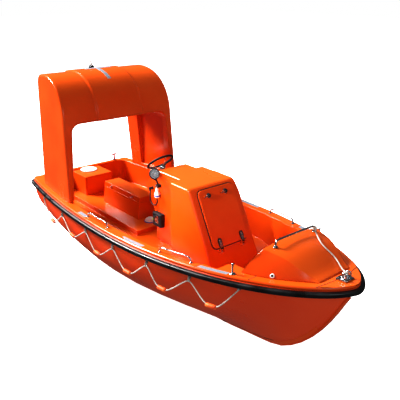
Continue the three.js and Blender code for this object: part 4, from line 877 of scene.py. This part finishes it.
beacon = show("beacon_foot", turned(
    [(0.038, -0.010), (0.038, 0.020), (0.035, 0.026), (0.031, 0.034), (0.027, 0.036)],
    BEACON_PLACE, UP, 36), grained_black)
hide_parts("arch_beacon")
show("beacon_dome", turned(
    [(0.026, 0.0362), (0.026, 0.066), (0.0235, 0.078), (0.018, 0.089), (0.009, 0.0975), (0.0, 0.1005)],
    BEACON_PLACE, UP, 36), clear_pc)
show("beacon_lamp", turned(
    [(0.010, 0.0370), (0.010, 0.048), (0.0065, 0.052), (0.0065, 0.066), (0.004, 0.072), (0.0, 0.074)],
    BEACON_PLACE, UP, 20), nylon)


# Stern locker and its hatch
# A foam-cored box over the steering gear, laminated to the platform, with a round screw-in hatch.
# The hatch is white nylon with two finger recesses, drawn as black discs of painted shade, on a black seal.
HATCH_X = 0.241
HATCH_TOP = 0.7603
HATCH_RECESSES = (-0.052, 0.052)

dress("stern_locker", deck_orange, 0.004)
dress("stern_hatch", nylon, 0.0015)
show("hatch_seal", turned(
    [(0.1215, 0.0), (0.1275, 0.0), (0.1275, 0.0045), (0.1225, 0.0045)],
    (HATCH_X, 0.0, 0.7500), UP, 48, True), cable_black)
# Painted shade: a flat black disc in each finger recess stands in for the hollow's shade.
show("hatch_recess_shade", [
    turned([(0.021, -0.002), (0.021, 0.0008)], (HATCH_X, y, HATCH_TOP), UP, 28) for y in HATCH_RECESSES],
    grained_black)
show("hatch_bar", [
    swept([(HATCH_X, y + end, HATCH_TOP + 0.0022) for end in (-0.024, 0.024)], flat_section(0.005, 0.0022))
    for y in HATCH_RECESSES], nylon)


# Transom pin
# A T-shaped pin for the tiller or a towline, painted red, in a chromed steel foot on the stern deck.
PIN_FOOT = Vector((0.060, 0.560, 0.7510))

# Epoxy enamel over primed steel: a strong red, glossy, chipped a little darker where lines have run
pin_red, tree, where = material("red_epoxy_enamel")
chips = add(tree, "TexNoise", {"Vector": where, "Scale": 55.0, "Detail": 5.0})
add(tree, "OutputMaterial", {"Surface": add(tree, "BsdfPrincipled", {
    "Base Color": add(tree, "ValToRGB", {"Fac": chips}, ramp=((0.28, "#7A1108"), (0.60, "#C4200E"))),
    "Roughness": 0.3})})

pin = show("pin_and_bar", [
    turned([(0.0118, 0.018), (0.011, 0.086), (0.0, 0.100)], PIN_FOOT, UP, 20),
    turned([(0.009, -0.038), (0.012, -0.034), (0.012, 0.034), (0.009, 0.038)],
           PIN_FOOT + Vector((0.0, 0.0, 0.094)), (0, 1, 0), 20)], pin_red)
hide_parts("transom_pin")
show("pin_foot", turned(
    [(0.026, 0.0), (0.0265, 0.004), (0.024, 0.013), (0.015, 0.018), (0.0135, 0.024)],
    PIN_FOOT, UP, 28), steel)


# Engine casing, lid and engine
# A hollow laminate casing over the engine, and its lid on two hinges to port.
# Two chromed latches on the lid's starboard side hold it down. The engine is painted grey.
LID_LATCHES = (1.075, 1.585)
LID_SIDE = -0.125
LID_TOP = 0.774

# Air-drying enamel, sprayed on cast iron and hot for years: grey-green, eggshell, with oily dust
engine_grey, tree, where = material("sprayed_engine_enamel")
oily = add(tree, "TexNoise", {"Vector": where, "Scale": 9.0, "Detail": 6.0})
sand = add(tree, "TexNoise", {"Vector": where, "Scale": 240.0})
oiled = add(tree, "MapRange", {
    "Value": oily, "From Min": 0.3, "From Max": 0.7, "To Min": 0.30, "To Max": 0.62})
sandy = add(tree, "Bump", {"Height": sand, "Distance": 0.0012, "Strength": 0.5})
add(tree, "OutputMaterial", {"Surface": add(tree, "BsdfPrincipled", {
    "Base Color": add(tree, "ValToRGB", {"Fac": oily}, ramp=((0.30, "#3F474D"), (0.70, "#6C777E"))),
    "Roughness": oiled, "Normal": sandy})})

dress("engine_casing", deck_orange, 0.005)
dress("engine_lid", deck_orange, 0.004)
dress("engine_block", engine_grey, 0.012)
latches = []
for x in LID_LATCHES:
    latches.append(turned(
        [(0.0155, 0.001), (0.0155, 0.0125), (0.0140, 0.0140)],
        (x, LID_SIDE + 0.006, LID_TOP - 0.0363), (0, -1, 0.05), 24))
    latches.append(swept(
        [(x - 0.004, LID_SIDE - 0.0098, LID_TOP - 0.036), (x - 0.030, LID_SIDE - 0.0100, LID_TOP - 0.043),
         (x - 0.044, LID_SIDE - 0.0130, LID_TOP - 0.047)], round_section(0.0035, 8)))
show("lid_latches", latches, steel, body="casing_lid")


# Console, its door and its dash
# A hollow laminate console stands on the sole. Its sloped front is closed by a door on two hinges,
# on a black rubber seal drawn wide as painted shade of the gap round the door, with two turning latches
# at the top. Gauges are set in the sloped dash aft.
DOOR_FOOT = Vector((3.34170, 0.0, 0.683))
DOOR_ANGLE = math.atan(0.5055)
DOOR_OUT = Vector((math.cos(DOOR_ANGLE), 0.0, math.sin(DOOR_ANGLE)))
DOOR_UP = Vector((-math.sin(DOOR_ANGLE), 0.0, math.cos(DOOR_ANGLE)))
ACROSS = Vector((0.0, 1.0, 0.0))
DOOR_HALF = 0.254
DOOR_HEIGHT = 0.651
DOOR_CORNER = 0.055
SEAL_AND_SHADE_WIDTH = 0.011
DOOR_SKIN = 0.020
DOOR_LATCHES = (-0.125, 0.118)
DOOR_LATCH_UP = 0.576
DOOR_HINGES = (-0.155, 0.165)
DOOR_AXIS_UP = -0.012
DOOR_AXIS_OUT = 0.026
# Outlines of a hinge's black pad and of its strap: up from the door's foot, half width
HINGE_PAD = ((0.0, 0.021), (0.040, 0.026), (0.070, 0.027), (0.090, 0.022), (0.103, 0.011))
HINGE_STRAP = ((0.004, 0.0165), (0.050, 0.0165), (0.080, 0.013), (0.094, 0.006))

dress("console", deck_orange, 0.006)
dress("console_door", deck_orange, 0.004)


def on_front(y, up, out):
    """A place measured from the foot of the door, up and out from the sloped front."""
    return DOOR_FOOT + ACROSS * y + DOOR_UP * up + DOOR_OUT * out


def door_outline(grow):
    """The door's outline, grown outwards, as places across and up."""
    corner = DOOR_CORNER + grow
    half, low, high = DOOR_HALF + grow, -grow, DOOR_HEIGHT + grow
    line = []
    for cx, cy, start in ((half - corner, high - corner, 0), (-half + corner, high - corner, 1),
                          (-half + corner, low + corner, 2), (half - corner, low + corner, 3)):
        for k in range(9):
            angle = math.pi / 2 * (start + k / 8)
            line.append((cx + corner * math.cos(angle), cy + corner * math.sin(angle)))
    return line


def door_band(inner, outer, lift):
    """A closed band on the sloped front, between two outlines of the door."""
    inside, outside = door_outline(inner), door_outline(outer)
    rows = [[(on_front(*a, 0.0), DOOR_OUT), (on_front(*b, 0.0), DOOR_OUT)] for a, b in zip(inside, outside)]
    return laid_band(rows, lift, closed=True)


# Painted shade: the seal's black band round the door also stands in for the shade in the door's gap.
show("door_seal_and_gap_shade", door_band(-0.004, SEAL_AND_SHADE_WIDTH, 0.0030), cable_black, 30.0)

door_steel, door_knobs, hinge_feet = [], [], []
for y in DOOR_LATCHES:
    hub = on_front(y, DOOR_LATCH_UP, 0.0)
    door_steel.append(turned([(0.029, 0.0195), (0.029, 0.023), (0.026, 0.025)], hub, DOOR_OUT, 28))
    door_knobs.append(turned([(0.0225, 0.024), (0.0225, 0.036), (0.019, 0.0425), (0.012, 0.0450),
                              (0.0, 0.0455)], hub, DOOR_OUT, 28))
    lever = [on_front(y + aside, DOOR_LATCH_UP - drop, out) for aside, drop, out in (
        (0.004, 0.0, 0.038), (-0.030, 0.001, 0.039), (-0.060, 0.004, 0.040), (-0.080, 0.010, 0.042))]
    door_steel.append(swept(smooth_line(lever, 16), round_section(0.0112, up=0.0056)))
for y in DOOR_HINGES:
    for group, plate, out, lift, sink in (
        (door_knobs, HINGE_PAD, 0.006, 0.0010, 0.0070), (door_steel, HINGE_STRAP, 0.007, 0.0020, 0.0085),
    ):
        group.append(laid_band(
            [[(on_front(y + edge, up, DOOR_SKIN + out), DOOR_OUT) for edge in (-half, half)]
             for up, half in plate], lift, sink))
    hinge_feet.append(laid_band(
        [[(on_front(y + edge, up, 0.0), DOOR_OUT) for edge in (-0.019, 0.019)]
         for up in (-0.062, -0.030)], 0.0035))
    hinge_feet += [turned([(0.0055, 0.003), (0.0045, 0.006), (0.0, 0.0065)],
                          on_front(y + dy, -0.046, 0.0), DOOR_OUT, 12) for dy in (-0.011, 0.011)]
    for up in (0.045, 0.078):
        door_steel.append(turned([(0.0062, 0.0), (0.0055, 0.003), (0.0, 0.0045)],
                                 on_front(y, up, DOOR_SKIN + 0.0085), DOOR_OUT, 16))
    door_knobs.append(turned([(0.0092, -0.0164), (0.0098, -0.0144), (0.0098, 0.0144), (0.0092, 0.0164)],
                             on_front(y, DOOR_AXIS_UP, DOOR_AXIS_OUT), ACROSS, 20))
show("door_fittings", door_steel, steel, body="front_door")
show("door_knobs", door_knobs, grained_black, body="front_door")
show("hinge_feet", hinge_feet, steel)

# Toughened glass over a dial, tinted dark: near black, mirror-smooth
dial_glass, tree, where = material("tinted_dial_glass")
smudge = add(tree, "TexNoise", {"Vector": where, "Scale": 40.0, "Detail": 3.0})
smeared = add(tree, "MapRange", {
    "Value": smudge, "From Min": 0.3, "From Max": 0.7, "To Min": 0.04, "To Max": 0.12})
add(tree, "OutputMaterial", {"Surface": add(tree, "BsdfPrincipled", {
    "Base Color": add(tree, "ValToRGB", {"Fac": smudge}, ramp=((0.3, "#07090B"), (0.7, "#10161B"))),
    "Roughness": smeared})})

DASH_OUT = Vector((-0.206, 0.0, 0.246)).normalized()
DASH_UP = Vector((0.246, 0.0, 0.206)).normalized()
DASH_MIDDLE = Vector((2.1710, 0.0, 1.2030))
GAUGES = ((-0.120, 0.100, 0.040), (0.0, 0.112, 0.030), (0.120, 0.100, 0.040))  # across, up, radius
SWITCHES = (-0.110, -0.055, 0.0, 0.055, 0.110)


def on_dash(y, up, out):
    """A place on the sloped dash, across, up its slope and out from it."""
    return DASH_MIDDLE + ACROSS * y + DASH_UP * up + DASH_OUT * out


bezels, glasses, needles = [], [], []
for y, up, radius in GAUGES:
    foot = on_dash(y, up, 0.0)
    bezels.append(turned([(radius - 0.006, -0.002), (radius + 0.004, -0.002), (radius + 0.004, 0.006),
                          (radius, 0.010), (radius - 0.004, 0.009), (radius - 0.006, 0.005)],
                         foot, DASH_OUT, 36, True))
    glasses.append(turned(
        [(radius - 0.0055, -0.002), (radius - 0.0055, 0.0045), (0.0, 0.0055)], foot, DASH_OUT, 36))
    tip = foot + DASH_OUT * 0.0062 + (DASH_UP * 0.7 - ACROSS * 0.7).normalized() * (radius - 0.012)
    needles.append(swept([foot + DASH_OUT * 0.0062, (foot + DASH_OUT * 0.0062 + tip) / 2, tip],
                         round_section(0.0010, 6)))
for y in SWITCHES:
    bezels.append(swept([on_dash(y, -0.105, out) for out in (-0.002, 0.010)], flat_section(0.009, 0.016)))
show("dash_bezels", bezels, grained_black)
show("dash_glasses", glasses, dial_glass)
show("dash_needles", needles, nylon)


# Steering wheel on its column
# The rim is moulded black polyurethane with finger grips, on three polished spokes and a capped hub.
# The helm pump's flange is bolted to the sloped dash.
WHEEL_CENTRE = Vector((2.050, 0.0, 1.310))
WHEEL_RADIUS = 0.162
WHEEL_RIM = 0.0145
WHEEL_DISH = 0.052
RIM_PLACES = 240
RIM_SIDES = 12
GRIP_COUNT = 45
GRIP_DEPTH = 0.06

dress("wheel_column", steel)

rings = []
for k in range(RIM_PLACES):
    angle = 2 * math.pi * k / RIM_PLACES
    out = ACROSS * math.cos(angle) + DASH_UP * math.sin(angle)
    middle = WHEEL_CENTRE + out * WHEEL_RADIUS
    ring = []
    for j in range(RIM_SIDES):
        turn = 2 * math.pi * j / RIM_SIDES
        dip = 1.0 - math.cos(GRIP_COUNT * angle) * max(-math.cos(turn), 0.0) ** 0.5
        grip = 1.0 - GRIP_DEPTH * dip
        ring.append(middle + (out * math.cos(turn) + DASH_OUT * math.sin(turn)) * WHEEL_RIM * grip)
    rings.append(ring)
rim = show("wheel_rim", skinned(rings, closed=True), grained_black, 60.0, body="helm")
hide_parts("steering_wheel")
spokes = []
for degrees in (90, 210, 330):
    angle = math.radians(degrees)
    out = ACROSS * math.cos(angle) + DASH_UP * math.sin(angle)
    low = WHEEL_CENTRE - DASH_OUT * (WHEEL_DISH + 0.006)
    spokes.append(swept(smooth_line(
        [low + out * 0.016, low + out * 0.045 + DASH_OUT * 0.004, low + out * 0.100 + DASH_OUT * 0.026,
         WHEEL_CENTRE + out * (WHEEL_RADIUS - 0.006) - DASH_OUT * 0.002], 24),
        round_section(0.0095, up=0.0055)))
spokes.append(turned([(0.033, -0.094), (0.037, -0.082), (0.038, -0.056), (0.036, -0.051), (0.029, -0.048),
                      (0.0, -0.047)], WHEEL_CENTRE, DASH_OUT, 36))
show("wheel_spokes", spokes, steel, body="helm")
show("wheel_cap", turned(
    [(0.0, -0.049), (0.025, -0.0485), (0.024, -0.041), (0.016, -0.036), (0.0, -0.034)],
    WHEEL_CENTRE, DASH_OUT, 32), grained_black, body="helm")


# Searchlight
# A chromed shell with a bright reflector, a toughened glass and a black rubber rim.
# It turns on a black stem that is clamped to the side of the dash.
LAMP_CENTRE = Vector((2.335, -0.292, 1.292))
LAMP_AIM = Vector((0.78, -0.60, 0.16)).normalized()
STEM_X = 2.335
STEM_Y = -0.250
CLAMP_Z = 1.134
CLAMP_RUN = (-0.270, -0.2152)

lamp_shell = show("lamp_shell", turned(
    [(0.0, -0.062), (0.014, -0.0610), (0.028, -0.056), (0.042, -0.045), (0.052, -0.028), (0.058, -0.010),
     (0.059, 0.008), (0.055, 0.010), (0.050, -0.006), (0.040, -0.026), (0.026, -0.040), (0.010, -0.047),
     (0.0, -0.048)], LAMP_CENTRE, LAMP_AIM, 48), steel)
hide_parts("searchlight")
show("lamp_rim", turned(
    [(0.056, -0.008), (0.0635, -0.008), (0.0640, 0.000), (0.0640, 0.013), (0.0615, 0.018), (0.056, 0.020),
     (0.053, 0.016), (0.053, 0.010)], LAMP_CENTRE, LAMP_AIM, 48, True), cable_black)
show("lamp_glass", turned(
    [(0.0, 0.0135), (0.030, 0.0130), (0.0545, 0.0110), (0.0545, 0.0135), (0.030, 0.0165), (0.0, 0.0172)],
    LAMP_CENTRE, LAMP_AIM, 48), clear_pc)
show("lamp_bulb", turned(
    [(0.008, -0.047), (0.008, -0.030), (0.006, -0.026), (0.006, -0.012), (0.003, -0.007), (0.0, -0.006)],
    LAMP_CENTRE, LAMP_AIM, 20), nylon)
lamp_stem = [LAMP_CENTRE - LAMP_AIM * 0.030 + Vector((0.0, 0.0, -0.040)),
             LAMP_CENTRE + Vector((-0.010, 0.014, -0.060)), LAMP_CENTRE + Vector((-0.004, 0.030, -0.095)),
             (STEM_X, STEM_Y, 1.165), (STEM_X, STEM_Y, 1.108)]
show("lamp_stem", [
    swept(smooth_line(lamp_stem, 30), round_section(0.0115, 16)),
    turned([(0.017, -0.017), (0.0185, -0.012), (0.0185, 0.012), (0.017, 0.017)],
           LAMP_CENTRE + Vector((-0.008, 0.012, -0.062)), (0.6, 0.78, 0), 24),
    swept([(STEM_X, y, CLAMP_Z) for y in CLAMP_RUN], flat_section(0.024, 0.015))],
    grained_black)
knobs = [turned([(0.007, 0.0), (0.0055, 0.004), (0.0, 0.005)],
                (STEM_X + dx, -0.2705, CLAMP_Z), (0, -1, 0), 16) for dx in (-0.016, 0.016)]
show("lamp_bolts", knobs, steel)


# Control box
# A black moulded box on the console's side holds the engine controls: a lever in a slotted plate,
# a pale green pilot lamp and a start button.
BOX_FACE = -0.278
LEVER_TOP = (2.358, BOX_FACE - 0.032, 0.760)

dress("control_box", grained_black, 0.006)
dress("cable_gland", grained_black, 0.0015)

# Acrylic, moulded and dyed: clear yellow-green, bright at its edges
pilot_green, tree, where = material("dyed_green_acrylic")
dyed = add(tree, "TexNoise", {"Vector": where, "Scale": 80.0})
add(tree, "OutputMaterial", {"Surface": add(tree, "BsdfPrincipled", {
    "Base Color": add(tree, "ValToRGB", {"Fac": dyed}, ramp=((0.3, "#A8C83A"), (0.7, "#D2E85C"))),
    "Roughness": 0.15, "Transmission Weight": 0.15})})

show("pilot_lamp", turned([(0.009, 0.0), (0.0085, 0.005), (0.005, 0.008), (0.0, 0.009)],
                          (2.268, BOX_FACE, 0.696), (0, -1, 0), 20), pilot_green)
box_steel = [
    laid_band([[((x, BOX_FACE, z), (0, -1, 0)) for z in (0.668, 0.762)] for x in (2.318, 2.372)], 0.0015),
    swept(smooth_line([(2.345, BOX_FACE + 0.004, 0.690), (2.345, BOX_FACE - 0.020, 0.702),
                       (2.352, BOX_FACE - 0.030, 0.735), LEVER_TOP], 18), round_section(0.0045, 10))]
show("box_lever", box_steel, steel)
show("box_knob", [
    turned([(0.008, -0.004), (0.0115, 0.004), (0.0115, 0.014), (0.008, 0.021), (0.0, 0.023)],
           LEVER_TOP, (0.15, 0.0, 1.0), 24),
    turned([(0.010, 0.0), (0.010, 0.006), (0.008, 0.008)], (2.290, BOX_FACE, 0.735), (0, -1, 0), 24)],
    cable_black)


# Floor vent
# A white nylon mushroom vent screwed to the platform ahead of the engine casing, on a blue gasket.
VENT_PLACE = (1.868, -0.048, 0.4743)

dress("floor_vent", nylon)
show("vent_gasket", turned(
    [(0.066, 0.0), (0.0735, 0.0), (0.0735, 0.006), (0.066, 0.006)], VENT_PLACE, UP, 40, True),
    ring_blue)


# Bow hood, its drains and its rail
# One laminate moulding keeps spray off the fore deck. It is open aft and bonded down on the deck.
# A bent stainless rail crosses its aft end, and a round nylon drain is let into each side, its hole a black
# disc of painted shade.
dress("bow_hood", deck_orange, 0.010, 0.2)
dress("hood_rail", steel)
for name in ("starboard", "port"):
    dress("hood_drain_" + name, nylon)
    low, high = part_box("hood_drain_" + name)
    middle = (low + high) / 2
    side = -1 if name == "starboard" else 1
    skin, facing = landing("hood_drain_" + name, middle + Vector((0.0, side * 0.3, 0.20)),
                           Vector((0.0, -side * 0.3, -0.20)))
    # Painted shade: a flat black disc stands in for the dark inside of the drain's hole.
    show("painted_drain_shade_" + name, turned([(0.0105, -0.004), (0.0105, 0.0008)], skin, facing, 20),
         grained_black)


# Bow bitt, side rails and crutch posts
# The bitt is a stainless plate with two welded rings and a pin, bolted through the bow.
# Short grab rails stand along the side decks, and a crutch post on each side ahead of them.
dress("bow_bitt", steel)
bolts = []
for x in (4.790, 4.874):
    for y in (-0.048, 0.048):
        skin, facing = landing("bow_bitt", (x, y, 1.5), (0, 0, -1))
        bolts.append(turned([(0.0065, -0.001), (0.0065, 0.003), (0.004, 0.005)], skin, UP, 6))
for name in ("aft_rail_", "fore_rail_", "crutch_post_"):
    dress(name + "starboard", steel)
    dress(name + "port", steel)
show("bitt_bolts", bolts, steel)


# Studio
# A plain pale floor just under the keel, and a white sky. One soft lamp stands high on the starboard
# quarter, a narrow one is aimed at the console, and two weak ones fill in from port and from ahead.
LIGHT_FROM_ABOVE = 0.38
LIGHT_FROM_BELOW = 0.74
SKY_MIRRORED = 0.10
PAPER_GLOW = 0.90
FLOOR_HALF = 60.0
SPOT_CONE = math.radians(12.5)
SPOT_BLEND = 0.55
world = bpy.data.worlds.new("studio")
world.use_nodes = True
sky = world.node_tree
rays = add(sky, "LightPath", {})
direction = add(sky, "TexCoord", {})
height = add(sky, "SeparateXYZ", {"Vector": direction.outputs["Generated"]})
level = add(sky, "MapRange", {
    "Value": height.outputs["Z"], "From Min": -0.25, "From Max": 0.25, "To Min": LIGHT_FROM_BELOW,
    "To Max": LIGHT_FROM_ABOVE})
mirrored = add(sky, "Mix", {
    "Factor": rays.outputs["Is Glossy Ray"], "A": level.outputs["Result"], "B": SKY_MIRRORED},
    data_type="FLOAT")
seen = add(sky, "Mix", {
    "Factor": rays.outputs["Is Camera Ray"], "A": mirrored.outputs["Result"], "B": 1.0}, data_type="FLOAT")
backdrop = sky.nodes["Background"]
backdrop.inputs["Color"].default_value = linear("#FFFFFF")
sky.links.new(seen.outputs["Result"], backdrop.inputs["Strength"])
scene.world = world
scene.view_settings.view_transform = "Standard"
scene.view_settings.gamma = 0.8

keel_low = cad_box[0][2]
floor_mesh = bpy.data.meshes.new("floor")
floor_mesh.from_pydata(
    [(-FLOOR_HALF, -FLOOR_HALF, keel_low), (FLOOR_HALF, -FLOOR_HALF, keel_low),
     (FLOOR_HALF, FLOOR_HALF, keel_low), (-FLOOR_HALF, FLOOR_HALF, keel_low)], [], [(0, 1, 2, 3)])
floor = bpy.data.objects.new("floor", floor_mesh)
scene.collection.objects.link(floor)
floor.visible_diffuse = False
floor.visible_glossy = False
# Seamless paper, matt: an even white that shows only a soft shade under the keel
paper, tree, _ = material("matt_white_paper")
add(tree, "OutputMaterial", {"Surface": add(tree, "BsdfPrincipled", {
    "Base Color": linear("#FFFFFF"), "Roughness": 0.95, "Specular IOR Level": 0.0,
    "Emission Color": linear("#FFFFFF"), "Emission Strength": PAPER_GLOW})})
floor_mesh.materials.append(paper)

for name, kind, place, target, size, power in (
    ("lamp_quarter", "AREA", (-8.6, -5.9, 10.7), (2.4, 0.0, 0.8), 5.0, 8300.0),
    ("lamp_console", "SPOT", (3.0, -6.3, 3.4), (2.72, -0.3, 1.10), 0.3, 3000.0),
    ("lamp_port", "AREA", (1.0, 7.5, 5.0), (2.4, 0.0, 0.6), 4.0, 220.0),
    ("lamp_bow", "AREA", (9.5, -3.0, 5.0), (2.4, 0.0, 0.6), 3.0, 120.0),
):
    light = bpy.data.lights.new(name, kind)
    light.energy = power
    if kind == "AREA":
        light.shape = "SQUARE"
        light.size = size
    else:
        light.shadow_soft_size = size
        light.spot_size = SPOT_CONE
        light.spot_blend = SPOT_BLEND
    lamp = bpy.data.objects.new(name, light)
    scene.collection.objects.link(lamp)
    lamp.location = place
    lamp.rotation_euler = (Vector(target) - Vector(place)).to_track_quat("-Z", "Y").to_euler()
    lamp.visible_glossy = name != "lamp_port"
